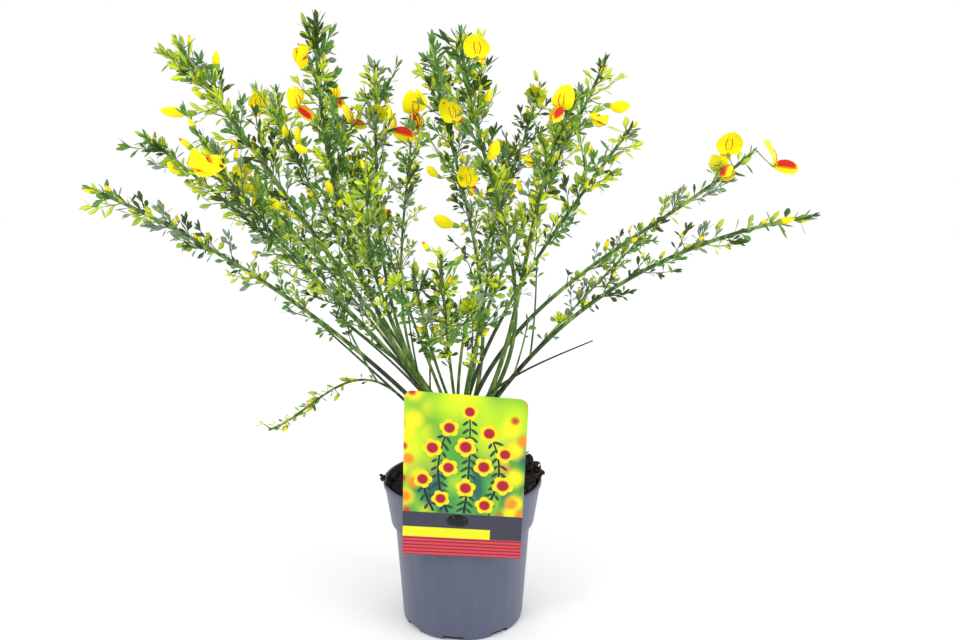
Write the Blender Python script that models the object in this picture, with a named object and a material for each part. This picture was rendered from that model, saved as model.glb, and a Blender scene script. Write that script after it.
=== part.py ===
"""A potted flowering broom: nursery pot, soil, hanging card, short trunk, boughs and leafy stems.

Metres, +Z up. The origin is the middle of the pot's flat underside, and the card is at -Y.
The crown is a fan of wand-like stems. Each stem is a bare bough that leaves the trunk, and
from there on a mass: the rest of the stem with its side twigs, leaves, buds and blossom.
"""
import math
import random

import bmesh
import bpy
from mathutils import Matrix, Vector
from mathutils.bvhtree import BVHTree
from mathutils.kdtree import KDTree

MM = 0.001
GAP = 0.3 * MM

# Pot, a round two-litre nursery pot with a deep collar
POT_HEIGHT = 155 * MM
POT_RIM_RADIUS = 85 * MM
POT_COLLAR_FOOT_RADIUS = 77.3 * MM
POT_COLLAR_DEPTH = 46 * MM
POT_BODY_TOP_RADIUS = 72.5 * MM
POT_BASE_RADIUS = 65.5 * MM
POT_WALL = 1.4 * MM
POT_LIP = 1.6 * MM
POT_SEGMENTS = 40
DRAIN_COUNT = 8
DRAIN_WIDTH = 21 * MM
DRAIN_HEIGHT = 5 * MM
DRAIN_REACH = 9 * MM
DRAIN_FIRST = -98.0

# Soil, heaped up at the right and back of the rim
SOIL_LEVEL = 150 * MM
SOIL_FLAT_RADIUS = 21 * MM
SOIL_HEAP = 11 * MM
SOIL_DIP = 9 * MM
SOIL_LIFT_WAY = (0.9, 0.45)
SOIL_LUMP = 2.2 * MM
SOIL_LUMP_WAVES = (20 * MM, 23 * MM, 11 * MM)
SOIL_LUMP_EASE = 0.4
SOIL_EDGE_DROP = 4 * MM
SOIL_RINGS = 5
SOIL_SEGMENTS = 20

# Card, pinned to the collar by a moulded stud, so it leans out over the rim it touches.
# Its middle is given from the touching place, and the stud from the card's middle (right, up)
CARD_WIDTH = 117.6 * MM
CARD_HEIGHT = 174.8 * MM
CARD_THICKNESS = 0.8 * MM
CARD_CORNER = 8 * MM
CARD_MIDDLE = (9.7 * MM, 37.6 * MM)
CARD_TOUCH_HEIGHT = POT_HEIGHT - 4 * MM
CARD_TURN = 2.5
CARD_LEAN = 7.8
CARD_AROUND = -4.3
STUD_HEAD = (21 * MM, 3.5 * MM, 13 * MM)
STUD_SHANK = (6 * MM, 4 * MM)
STUD_PLACE = (-4.8 * MM, -47.7 * MM)

# Trunk, a short woody stem with a flared foot
TRUNK_FOOT_RADIUS = 11.5 * MM
TRUNK_TOP_RADIUS = 9.0 * MM
TRUNK_FLARE = 6.5 * MM
TRUNK_FLARE_DEPTH = 9 * MM
TRUNK_HEIGHT = 66 * MM
TRUNK_LEAN = 1.5 * MM
TRUNK_SIDES = 10

# Stems: height of the foot on the trunk, thickness there, and the route on to the tip (mm)
STEMS = {
    "far_left": (184, 4.6, ((-179, -35, 360), (-372, -28, 467))),
    "left_second": (207, 4.4, ((-90, 30, 296), (-350, 67, 522))),
    "left_third": (167, 3.4, ((-86, -45, 319), (-169, -80, 418), (-226, -119, 517))),
    "left_fourth": (186, 3.4, ((-122, 76, 334), (-276, 158, 480))),
    "main_left": (199, 5.2, ((-117, -58, 388), (-262, -64, 602))),
    "left_mid": (197, 3.2, ((-123, 36, 389), (-228, 147, 573))),
    "tall_left": (187, 5.4, ((-117, 0, 418), (-137, -23, 633))),
    "tall_second": (173, 3.6, ((-116, 94, 411), (-155, 184, 563))),
    "forked": (199, 3.8, ((-75, 34, 332), (-92, 51, 464), (-98, 116, 603))),
    "centre_left": (208, 3.2, ((-84, -59, 394), (-80, -100, 491))),
    "centre_back": (200, 3.4, ((-67, 89, 299), (-73, 151, 420), (-68, 251, 555))),
    "high_mid": (199, 4.2, ((20, 22, 354), (-5, 27, 484), (-34, 68, 613))),
    "high_right": (205, 4.4, ((54, -19, 368), (23, -37, 496), (1, -66, 613))),
    "right_back": (171, 3.4, ((4, 51, 316), (45, 112, 447), (92, 165, 585))),
    "right_front": (194, 5.2, ((54, -24, 339), (77, -34, 454), (111, -69, 556))),
    "right_tall": (198, 4.4, ((29, 38, 338), (93, 57, 474), (156, 72, 604))),
    "right_second": (209, 4.0, ((45, -45, 346), (102, -68, 442), (152, -128, 523))),
    "right_upper": (207, 4.8, ((86, 15, 340), (200, 30, 423), (316, 54, 505))),
    "right_lower": (185, 4.8, ((151, -14, 360), (352, -41, 439))),
    "right_middle": (203, 3.2, ((91, 63, 292), (215, 109, 414))),
    "droopy": (178, 3.0, ((-68, -14, 252), (-97, -29, 270), (-152, -64, 251), (-190, -92, 237))),
    "front_left": (205, 3.2, ((-25, -76, 303), (-38, -168, 407))),
    "front_mid": (180, 3.4, ((-10, -81, 303), (-13, -190, 419))),
    "front_right": (187, 3.2, ((11, -70, 292), (29, -171, 407))),
    "back_left": (189, 3.6, ((-58, 103, 304), (-145, 239, 505))),
    "back_right": (201, 3.6, ((22, 97, 319), (51, 241, 517))),
}
# Shoots cut back in the nursery: bare all the way to their cut ends
CUT_SHOOTS = {
    "cut_right": (201, 3.0, ((39, -30, 264), (87, -44, 295), (129, -58, 317))),
    "cut_left": (178, 3.2, ((-99, 15, 271), (-198, 53, 348))),
    "cut_dark": (186, 3.4, ((-42, -37, 261), (-129, -46, 343))),
}
BARE_SHARE = 0.40
BARE_LENGTH = (75 * MM, 150 * MM)
TIP_SHARE = 0.36
PATH_STEPS = 96
BOUGH_SIDES = 5
BOUGH_RINGS = 5
BOUGH_SPACING = 1.6
FOOT_CLEARANCE = 1.6 * GAP
MASS_SIDES = 4
MASS_RINGS = 7
MASS_SWELL = 1.12

# Twigs and leaves, grown at nodes along each stem
STEM_SEED = 500
NODE_STEP = 28 * MM
NODE_TURN = 137.5
TWIG_EVERY = 4
TWIG_LENGTH = (38 * MM, 62 * MM)
TWIG_RADIUS = 0.9 * MM
TWIG_PITCH = 36.0
LEAF_LENGTH = 28 * MM
LEAF_WIDTH = 10 * MM
LEAF_THICKNESS = 1.6 * MM
LEAF_PITCH = 44.0
BUD_LENGTH = 18 * MM
BUD_WIDTH = 6 * MM
BUD_SHARE = 0.17
SPACE_MARGIN = 0.9 * MM
LIMB_MARGIN = 1.2 * MM
RIM_CLEAR_RADIUS = 112 * MM
RIM_CLEAR_HEIGHT = 286 * MM

# Blossom: stem, share of the way along it, direction in the front view, lean towards
# the front (both in degrees), and length of its stalk (mm)
BLOOMS = (
    ("tall_left", 0.91, 183, 20, 16),
    ("tall_left", 0.84, 8, 25, 15),
    ("tall_left", 0.65, 201, 50, 8),
    ("left_mid", 0.92, 21, 25, 20),
    ("left_mid", 0.84, 23, 30, 13),
    ("tall_second", 0.94, 5, 20, 18),
    ("centre_back", 0.98, 29, 30, 10),
    ("centre_back", 0.91, 173, 40, 9),
    ("high_right", 0.95, 6, 20, 15),
    ("high_right", 0.72, 15, 40, 10),
    ("high_mid", 0.80, 10, 40, 10),
    ("high_mid", 0.65, 11, 40, 10),
    ("high_mid", 0.56, 190, 30, 26),
    ("right_front", 0.95, 156, 30, 12),
    ("right_tall", 0.84, 333, 20, 18),
    ("right_back", 0.79, 341, 40, 9),
    ("left_third", 0.93, 212, 50, 10),
    ("left_third", 0.85, 40, 30, 11),
    ("left_second", 0.89, 238, 30, 9),
    ("left_fourth", 0.83, 42, -20, 9),
    ("right_upper", 0.95, 130, 10, 19),
    ("right_upper", 0.89, 132, 40, 9),
    ("right_upper", 0.98, 326, 10, 24),
    ("back_left", 0.90, 150, -35, 12),
    ("back_left", 0.74, 40, -45, 12),
    ("back_right", 0.93, 30, -35, 12),
    ("back_right", 0.78, 150, -45, 12),
    ("right_back", 0.92, 60, -45, 12),
    ("left_fourth", 0.95, 120, -45, 12),
    ("forked", 0.80, 80, -50, 12),
    ("right_middle", 0.84, 60, -45, 12),
)
STALK_RADIUS = 0.8 * MM
STANDARD_SIZE = (9.0 * MM, 9.0 * MM, 1.6 * MM)
KEEL_LENGTH = 15 * MM
KEEL_WIDTH = 6.5 * MM
KEEL_DEPTH = 6.0 * MM

UP = Vector((0, 0, 1))
BACK = Vector((0, 1, 0))


def material(name, colour, roughness):
    """A plain Principled material."""
    made = bpy.data.materials.new(name)
    made.use_nodes = True
    shader = made.node_tree.nodes["Principled BSDF"]
    shader.inputs["Base Color"].default_value = (*colour, 1)
    shader.inputs["Roughness"].default_value = roughness
    shader.inputs["Metallic"].default_value = 0
    return made


def add_object(name, mesh, finish, smooth=False):
    """Link a mesh as a named object with its finish."""
    mesh.name = name
    made = bpy.data.objects.new(name, mesh)
    bpy.context.scene.collection.objects.link(made)
    mesh.materials.clear()
    mesh.materials.append(finish)
    if smooth:
        mesh.shade_smooth()
        mesh.set_sharp_from_angle(angle=math.radians(35))
    return made


def mesh_from(verts, faces):
    """A mesh from points and faces, with its normals made consistent."""
    mesh = bpy.data.meshes.new("shape")
    mesh.from_pydata([tuple(v) for v in verts], [], faces)
    work = bmesh.new()
    work.from_mesh(mesh)
    bmesh.ops.recalc_face_normals(work, faces=work.faces)
    work.to_mesh(mesh)
    work.free()
    return mesh


def turned(profile, segments):
    """A closed solid turned about Z from a profile of (radius, height), axis to axis."""
    verts = []
    rings = []
    for radius, height in profile:
        if radius == 0:
            rings.append([len(verts)])
            verts.append((0, 0, height))
            continue
        rings.append(list(range(len(verts), len(verts) + segments)))
        for k in range(segments):
            angle = 2 * math.pi * k / segments
            verts.append((radius * math.cos(angle), radius * math.sin(angle), height))
    faces = []
    for low, high in zip(rings, rings[1:]):
        for k in range(segments):
            quad = [low[k % len(low)], low[(k + 1) % len(low)],
                    high[(k + 1) % len(high)], high[k % len(high)]]
            faces.append(list(dict.fromkeys(quad)))
    return mesh_from(verts, faces)


def apply_boolean(target, operand, operation, solver="EXACT"):
    """Apply one Boolean and remove the operand, an object or a collection of them."""
    cut = target.modifiers.new("join", "BOOLEAN")
    cut.operation = operation
    cut.solver = solver
    if isinstance(operand, bpy.types.Collection):
        cut.operand_type = "COLLECTION"
        cut.collection = operand
        spent = list(operand.objects)
    else:
        cut.object = operand
        spent = [operand]
    graph = bpy.context.evaluated_depsgraph_get()
    result = bpy.data.meshes.new_from_object(target.evaluated_get(graph))
    target.modifiers.remove(cut)
    target.data = result
    for piece in spent:
        bpy.data.objects.remove(piece)


def box_mesh(size, centre):
    """A box of a full size about a centre."""
    work = bmesh.new()
    bmesh.ops.create_cube(work, size=1)
    bmesh.ops.scale(work, vec=size, verts=work.verts)
    bmesh.ops.translate(work, vec=centre, verts=work.verts)
    mesh = bpy.data.meshes.new("box")
    work.to_mesh(mesh)
    work.free()
    return mesh


def build_pot():
    """The pot: tapered body, step under the collar, rolled lip, wall, floor and drain holes."""
    collar_z = POT_HEIGHT - POT_COLLAR_DEPTH
    step = POT_COLLAR_FOOT_RADIUS - POT_BODY_TOP_RADIUS
    outer = [
        (0, 0),
        (POT_BASE_RADIUS - 3 * MM, 0),
        (POT_BASE_RADIUS, 3 * MM),
        (POT_BODY_TOP_RADIUS, collar_z - step),
        (POT_COLLAR_FOOT_RADIUS - 1 * MM, collar_z),
        (POT_COLLAR_FOOT_RADIUS, collar_z + 2 * MM),
        (POT_RIM_RADIUS - 1 * MM, POT_HEIGHT - 5 * MM),
        (POT_RIM_RADIUS, POT_HEIGHT - 4 * MM),
        (POT_RIM_RADIUS, POT_HEIGHT - 1 * MM),
        (POT_RIM_RADIUS - 1 * MM, POT_HEIGHT),
    ]
    inner = [
        (POT_RIM_RADIUS - 1 * MM - POT_LIP, POT_HEIGHT),
        (POT_COLLAR_FOOT_RADIUS - POT_WALL, collar_z + 2 * MM),
        (POT_BODY_TOP_RADIUS - POT_WALL, collar_z - step),
        (POT_BASE_RADIUS - POT_WALL, 3 * MM),
        (POT_BASE_RADIUS - POT_WALL - 1 * MM, POT_WALL),
        (0, POT_WALL),
    ]
    pot = add_object("pot", turned(outer + inner, POT_SEGMENTS), POT_PLASTIC)
    cutters = bpy.data.collections.new("drains")
    bpy.context.scene.collection.children.link(cutters)
    for k in range(DRAIN_COUNT):
        angle = math.radians(DRAIN_FIRST + 360 * k / DRAIN_COUNT)
        hole = box_mesh((DRAIN_REACH, DRAIN_WIDTH, 2 * DRAIN_HEIGHT),
                        (POT_BASE_RADIUS, 0, 0))
        hole.transform(Matrix.Rotation(angle, 4, "Z"))
        cutters.objects.link(bpy.data.objects.new("drain", hole))
    apply_boolean(pot, cutters, "DIFFERENCE")
    bpy.data.collections.remove(cutters)
    pot.data.shade_smooth()
    pot.data.set_sharp_from_angle(angle=math.radians(35))


def pot_inner_radius(height):
    """Radius of the pot's inner wall at a height."""
    collar_z = POT_HEIGHT - POT_COLLAR_DEPTH
    step = POT_COLLAR_FOOT_RADIUS - POT_BODY_TOP_RADIUS
    marks = (
        (3 * MM, POT_BASE_RADIUS - POT_WALL),
        (collar_z - step, POT_BODY_TOP_RADIUS - POT_WALL),
        (collar_z + 2 * MM, POT_COLLAR_FOOT_RADIUS - POT_WALL),
        (POT_HEIGHT, POT_RIM_RADIUS - 1 * MM - POT_LIP),
    )
    for (z0, r0), (z1, r1) in zip(marks, marks[1:]):
        if height <= z1:
            share = max(0.0, (height - z0) / (z1 - z0))
            return r0 + (r1 - r0) * share
    return marks[-1][1]


def soil_height(x, y):
    """Height of the soil: flat round the trunk, low at the left, heaped right and back."""
    radius = math.hypot(x, y)
    edge = max(0.0, (radius - SOIL_FLAT_RADIUS) / (POT_RIM_RADIUS - SOIL_FLAT_RADIUS))
    side = (x * SOIL_LIFT_WAY[0] + y * SOIL_LIFT_WAY[1]) / POT_RIM_RADIUS
    lift = SOIL_HEAP * max(0.0, side) - SOIL_DIP * max(0.0, -side)
    wave_x, wave_y, wave_slant = (2 * math.pi / length for length in SOIL_LUMP_WAVES)
    lumps = (math.sin(x * wave_x + 1.3) * math.cos(y * wave_y - 0.4)
             + 0.6 * math.sin((x - y) * wave_slant))
    return SOIL_LEVEL + edge * lift + min(1.0, edge / SOIL_LUMP_EASE) * SOIL_LUMP * lumps


def build_soil():
    """The soil: one solid that fills the pot, a hair clear of its walls."""
    clear = 2 * GAP
    levels = [POT_WALL + clear, 3 * MM + clear, POT_HEIGHT - POT_COLLAR_DEPTH - 5 * MM,
              POT_HEIGHT - POT_COLLAR_DEPTH + 2 * MM]
    cosine = math.cos(math.pi / POT_SEGMENTS)
    radii = [POT_BASE_RADIUS - POT_WALL - 1 * MM - clear]
    for level in levels[1:]:
        radii.append(pot_inner_radius(level - clear) * cosine - clear)
    verts = [Vector((0, 0, levels[0]))]
    rings = [[0]]
    for radius, level in zip(radii, levels):
        rings.append(list(range(len(verts), len(verts) + SOIL_SEGMENTS)))
        for k in range(SOIL_SEGMENTS):
            angle = 2 * math.pi * k / SOIL_SEGMENTS
            verts.append(Vector((radius * math.cos(angle), radius * math.sin(angle), level)))
    for ring in range(SOIL_RINGS, 0, -1):
        rings.append(list(range(len(verts), len(verts) + SOIL_SEGMENTS)))
        share = ring / SOIL_RINGS
        for k in range(SOIL_SEGMENTS):
            angle = 2 * math.pi * k / SOIL_SEGMENTS
            direction = Vector((math.cos(angle), math.sin(angle), 0))
            wall = pot_inner_radius(SOIL_LEVEL - SOIL_DIP) * cosine - clear
            spot = direction * (SOIL_FLAT_RADIUS + (wall - SOIL_FLAT_RADIUS) * (share ** 0.8))
            if ring < SOIL_RINGS:
                spot.z = soil_height(spot.x, spot.y)
            else:
                spot.z = max(soil_height(spot.x, spot.y), SOIL_LEVEL - SOIL_DIP) - SOIL_EDGE_DROP
            verts.append(spot)
    rings.append(list(range(len(verts), len(verts) + SOIL_SEGMENTS)))
    for k in range(SOIL_SEGMENTS):
        angle = 2 * math.pi * k / SOIL_SEGMENTS
        verts.append(Vector((math.cos(angle), math.sin(angle), 0)) * SOIL_FLAT_RADIUS
                     + UP * SOIL_LEVEL)
    rings.append([len(verts)])
    verts.append(Vector((0, 0, SOIL_LEVEL)))
    faces = []
    for low, high in zip(rings, rings[1:]):
        for k in range(SOIL_SEGMENTS):
            quad = [low[k % len(low)], low[(k + 1) % len(low)],
                    high[(k + 1) % len(high)], high[k % len(high)]]
            faces.append(list(dict.fromkeys(quad)))
    add_object("soil", mesh_from(verts, faces), PEAT)


def card_frame():
    """What brings the card's own plane, with its back at y = 0, to where it hangs."""
    middle_x, middle_z = CARD_MIDDLE
    return (Matrix.Rotation(math.radians(CARD_AROUND), 4, "Z")
            @ Matrix.Translation((0, -POT_RIM_RADIUS - GAP, CARD_TOUCH_HEIGHT))
            @ Matrix.Rotation(math.radians(CARD_LEAN), 4, "X")
            @ Matrix.Translation((middle_x, 0, middle_z))
            @ Matrix.Rotation(math.radians(CARD_TURN), 4, "Y"))


def collar_radius(height):
    """Outer radius of the pot's collar at a height."""
    share = (height - (POT_HEIGHT - POT_COLLAR_DEPTH)) / POT_COLLAR_DEPTH
    return POT_COLLAR_FOOT_RADIUS + share * (POT_RIM_RADIUS - POT_COLLAR_FOOT_RADIUS)


def build_card():
    """The card with two round upper corners, and the stud that pins it to the collar."""
    half_w = CARD_WIDTH / 2
    half_h = CARD_HEIGHT / 2
    outline = []
    for cx, cz, start, radius in ((half_w, half_h, 0, CARD_CORNER),
                                  (-half_w, half_h, 90, CARD_CORNER),
                                  (-half_w, -half_h, 180, CARD_CORNER / 4),
                                  (half_w, -half_h, 270, CARD_CORNER / 4)):
        for k in range(5):
            angle = math.radians(start + 22.5 * k)
            outline.append((cx - math.copysign(radius, cx) + radius * math.cos(angle),
                            cz - math.copysign(radius, cz) + radius * math.sin(angle)))
    count = len(outline)
    verts = [(x, 0, z) for x, z in outline] + [(x, -CARD_THICKNESS, z) for x, z in outline]
    faces = [list(range(count)), list(range(2 * count - 1, count - 1, -1))]
    for k in range(count):
        after = (k + 1) % count
        faces.append([k, after, after + count, k + count])
    card = add_object("card", mesh_from(verts, faces), CARD_PRINT)
    shank_w, shank_h = STUD_SHANK
    stud_x, stud_z = STUD_PLACE
    slot = box_mesh((shank_w + 2 * GAP, 10 * MM, shank_h + 2 * GAP), (stud_x, 0, stud_z))
    cutter = bpy.data.objects.new("slot", slot)
    bpy.context.scene.collection.objects.link(cutter)
    apply_boolean(card, cutter, "DIFFERENCE")
    card.data.transform(card_frame())
    pinned = card_frame() @ Vector((stud_x, 0, stud_z))
    shank_end = math.hypot(pinned.x, pinned.y) - collar_radius(pinned.z) - 2 * GAP
    head_w, head_d, head_h = STUD_HEAD
    head_back = -CARD_THICKNESS - GAP
    work = bmesh.new()
    bmesh.ops.create_uvsphere(work, u_segments=12, v_segments=6, radius=0.5)
    bmesh.ops.scale(work, vec=(head_w, 2 * head_d, head_h), verts=work.verts)
    cut = bmesh.ops.bisect_plane(work, geom=list(work.verts) + list(work.edges) + list(work.faces),
                                 plane_co=(0, 0, 0), plane_no=(0, 1, 0), clear_outer=True)
    rim = [e for e in cut["geom_cut"] if isinstance(e, bmesh.types.BMEdge)]
    bmesh.ops.contextual_create(work, geom=rim)
    bmesh.ops.translate(work, vec=(stud_x, head_back, stud_z), verts=work.verts)
    head = bpy.data.meshes.new("stud")
    work.to_mesh(head)
    work.free()
    stud = add_object("stud", head, STUD_PLASTIC)
    sunk = head_back - 1 * MM
    shank = bpy.data.objects.new("shank", box_mesh((shank_w, shank_end - sunk, shank_h),
                                                   (stud_x, (shank_end + sunk) / 2, stud_z)))
    bpy.context.scene.collection.objects.link(shank)
    apply_boolean(stud, shank, "UNION")
    stud.data.transform(card_frame())


def trunk_radius(height):
    """Radius of the trunk at a height above its flat cut."""
    share = height / TRUNK_HEIGHT
    straight = TRUNK_FOOT_RADIUS + (TRUNK_TOP_RADIUS - TRUNK_FOOT_RADIUS) * share
    return straight + TRUNK_FLARE * math.exp(-height / TRUNK_FLARE_DEPTH * 1.6)


def build_trunk():
    """The trunk: flared foot with buttress ribs, taper, slight lean, rounded head."""
    base = SOIL_LEVEL + GAP
    heights = [0, 3 * MM, 7 * MM, 13 * MM, 24 * MM, 38 * MM, TRUNK_HEIGHT - 6 * MM]
    verts = [Vector((0, 0, base))]
    rings = [[0]]
    for height in heights:
        rings.append(list(range(len(verts), len(verts) + TRUNK_SIDES)))
        lean = TRUNK_LEAN * math.sin(height / TRUNK_HEIGHT * math.pi)
        flare = math.exp(-height / TRUNK_FLARE_DEPTH)
        for k in range(TRUNK_SIDES):
            angle = 2 * math.pi * k / TRUNK_SIDES
            radius = trunk_radius(height) * (1 + 0.16 * flare * math.cos(3 * angle + 0.7))
            verts.append(Vector((radius * math.cos(angle) + lean, radius * math.sin(angle),
                                 base + height)))
    for drop, share in ((2.2 * MM, 0.82), (0.4 * MM, 0.42)):
        rings.append(list(range(len(verts), len(verts) + TRUNK_SIDES)))
        for k in range(TRUNK_SIDES):
            angle = 2 * math.pi * k / TRUNK_SIDES
            radius = trunk_radius(TRUNK_HEIGHT) * share
            verts.append(Vector((radius * math.cos(angle), radius * math.sin(angle),
                                 base + TRUNK_HEIGHT - drop)))
    rings.append([len(verts)])
    verts.append(Vector((0, 0, base + TRUNK_HEIGHT)))
    faces = []
    for low, high in zip(rings, rings[1:]):
        for k in range(TRUNK_SIDES):
            quad = [low[k % len(low)], low[(k + 1) % len(low)],
                    high[(k + 1) % len(high)], high[k % len(high)]]
            faces.append(list(dict.fromkeys(quad)))
    return add_object("trunk", mesh_from(verts, faces), WOOD, smooth=True)


def stem_path(foot, route):
    """Points along a stem: one smooth curve from the trunk's axis through its route."""
    marks = [Vector((0, 0, foot * MM))]
    marks += [Vector(spot) * MM for spot in route]
    when = [0.0]
    for before, after in zip(marks, marks[1:]):
        when.append(when[-1] + (after - before).length)
    points = []
    for step in range(PATH_STEPS + 1):
        at = when[-1] * step / PATH_STEPS
        point = Vector((0, 0, 0))
        for i, mark in enumerate(marks):
            weight = 1.0
            for j, other in enumerate(when):
                if j != i:
                    weight *= (at - other) / (when[i] - other)
            point += mark * weight
        points.append(point)
    return points


def spot_on(points, share):
    """Point and direction at a share of the way along a path."""
    at = min(max(share, 0.0), 1.0) * (len(points) - 1)
    low = min(int(at), len(points) - 2)
    point = points[low].lerp(points[low + 1], at - low)
    return point, (points[low + 1] - points[low]).normalized()


def across(tangent):
    """Two directions square to a tangent, the first as near the back as can be."""
    first = (BACK - tangent * BACK.dot(tangent)).normalized()
    return first, tangent.cross(first)


def tube(points, radii, sides, spin=0.0):
    """A closed tapering tube with flat ends."""
    verts = []
    for i, (point, radius) in enumerate(zip(points, radii)):
        before = points[max(i - 1, 0)]
        after = points[min(i + 1, len(points) - 1)]
        first, second = across((after - before).normalized())
        for k in range(sides):
            angle = spin + 2 * math.pi * k / sides
            verts.append(point + (first * math.cos(angle) + second * math.sin(angle)) * radius)
    faces = [list(range(sides)), list(range(len(verts) - sides, len(verts)))]
    for i in range(len(points) - 1):
        low = i * sides
        for k in range(sides):
            after = (k + 1) % sides
            faces.append([low + k, low + after, low + sides + after, low + sides + k])
    return mesh_from(verts, faces)


def blade_points(root, axis, flat, length, width, depth, widest=0.5):
    """The six points of a leaf, bud or petal: root, tip and the four of its widest place."""
    side = axis.cross(flat).normalized()
    face = side.cross(axis).normalized()
    middle = root + axis * (length * widest)
    return [root, root + axis * length, middle + side * (width / 2), middle - side * (width / 2),
            middle + face * (depth / 2), middle - face * (depth / 2)]


def blade_mesh(points):
    """The eight-faced solid on those six points."""
    faces = []
    for end in (0, 1):
        for a, b in ((2, 4), (4, 3), (3, 5), (5, 2)):
            faces.append([end, a, b])
    return mesh_from(points, faces)


class Space:
    """Tells whether a point lies in a stem's own space, clear of every limb."""

    def __init__(self, paths):
        self.trees = {}
        for name, points in paths.items():
            tree = KDTree(len(points))
            for i, point in enumerate(points):
                tree.insert(point, i)
            tree.balance()
            self.trees[name] = tree

    def holds(self, name, point, first, limb):
        """True where the point is nearest this stem, past its bough, and off the pot."""
        if point.z < RIM_CLEAR_HEIGHT and math.hypot(point.x, point.y) < RIM_CLEAR_RADIUS:
            return False
        _, index, own = self.trees[name].find(point)
        if index < first:
            return False
        for other, tree in self.trees.items():
            if other == name:
                continue
            distance = tree.find(point)[2]
            if distance < own + SPACE_MARGIN or distance < limb + LIMB_MARGIN:
                return False
        return True


def mass_start(points):
    """Index of the path point where the bare bough ends and the mass begins."""
    length = sum((b - a).length for a, b in zip(points, points[1:]))
    bare = min(max(length * BARE_SHARE, BARE_LENGTH[0]), BARE_LENGTH[1])
    return round(PATH_STEPS * bare / length)


def stem_radius(thickness, share):
    """Radius of a stem at a share of its length."""
    return thickness * MM / 2 * (1 - (1 - TIP_SHARE) * share)


def foot_clearance(points, at, radius, trunk_shape):
    """Least distance from the rim of a bough's round foot to the trunk, negative inside it."""
    point, tangent = spot_on(points, at / PATH_STEPS)
    first, second = across(tangent)
    nearest = 1.0
    for k in range(10):
        angle = 2 * math.pi * k / 10
        edge = point + (first * math.cos(angle) + second * math.sin(angle)) * radius
        hit, normal, _, distance = trunk_shape.find_nearest(edge)
        inside = (edge - hit).dot(normal) < 0
        nearest = min(nearest, -distance if inside else distance)
    return nearest


def bough_start(points, thickness, trunk_shape):
    """Place along the path, in steps, where the bough's foot is just clear of the trunk."""
    radius = stem_radius(thickness, 0)
    low = PATH_STEPS / 4
    while foot_clearance(points, low, radius, trunk_shape) > FOOT_CLEARANCE:
        low -= 0.5
    high = low + 0.5
    for _ in range(12):
        middle = (low + high) / 2
        if foot_clearance(points, middle, radius, trunk_shape) < FOOT_CLEARANCE:
            low = middle
        else:
            high = middle
    return high


def bough_mesh(points, thickness, start, end):
    """A bare bough between two places on its path, with closer rings where it bends most."""
    stations = []
    radii = []
    for k in range(BOUGH_RINGS + 1):
        share = (start + (end - start) * (k / BOUGH_RINGS) ** BOUGH_SPACING) / PATH_STEPS
        stations.append(spot_on(points, share)[0])
        radii.append(stem_radius(thickness, share))
    return tube(stations, radii, BOUGH_SIDES)


def grow_nodes(seed, points, first):
    """Nodes along a stem's leafy stretch: number, share, point, tangent, way out, own dice."""
    length = sum((b - a).length for a, b in zip(points[first:], points[first + 1:]))
    count = max(3, round(length / NODE_STEP))
    turn = random.Random(seed).uniform(0, 360)
    for k in range(count):
        dice = random.Random(seed * 100 + k)
        share = (first + (PATH_STEPS - first) * (k + 0.6) / count) / PATH_STEPS
        point, tangent = spot_on(points, share)
        u, v = across(tangent)
        angle = math.radians(turn + NODE_TURN * k + dice.uniform(-14, 14))
        yield k, share, point, tangent, u * math.cos(angle) + v * math.sin(angle), dice


def twig_path(point, tangent, outward, length, pitch_degrees):
    """A side twig: leaves at a slant and bends upward."""
    pitch = math.radians(pitch_degrees)
    heading = tangent * math.cos(pitch) + outward * math.sin(pitch)
    middle = point + heading * (length * 0.5)
    heading = (heading + UP * 0.28).normalized()
    return [point, middle, middle + heading * (length * 0.5)]


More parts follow.
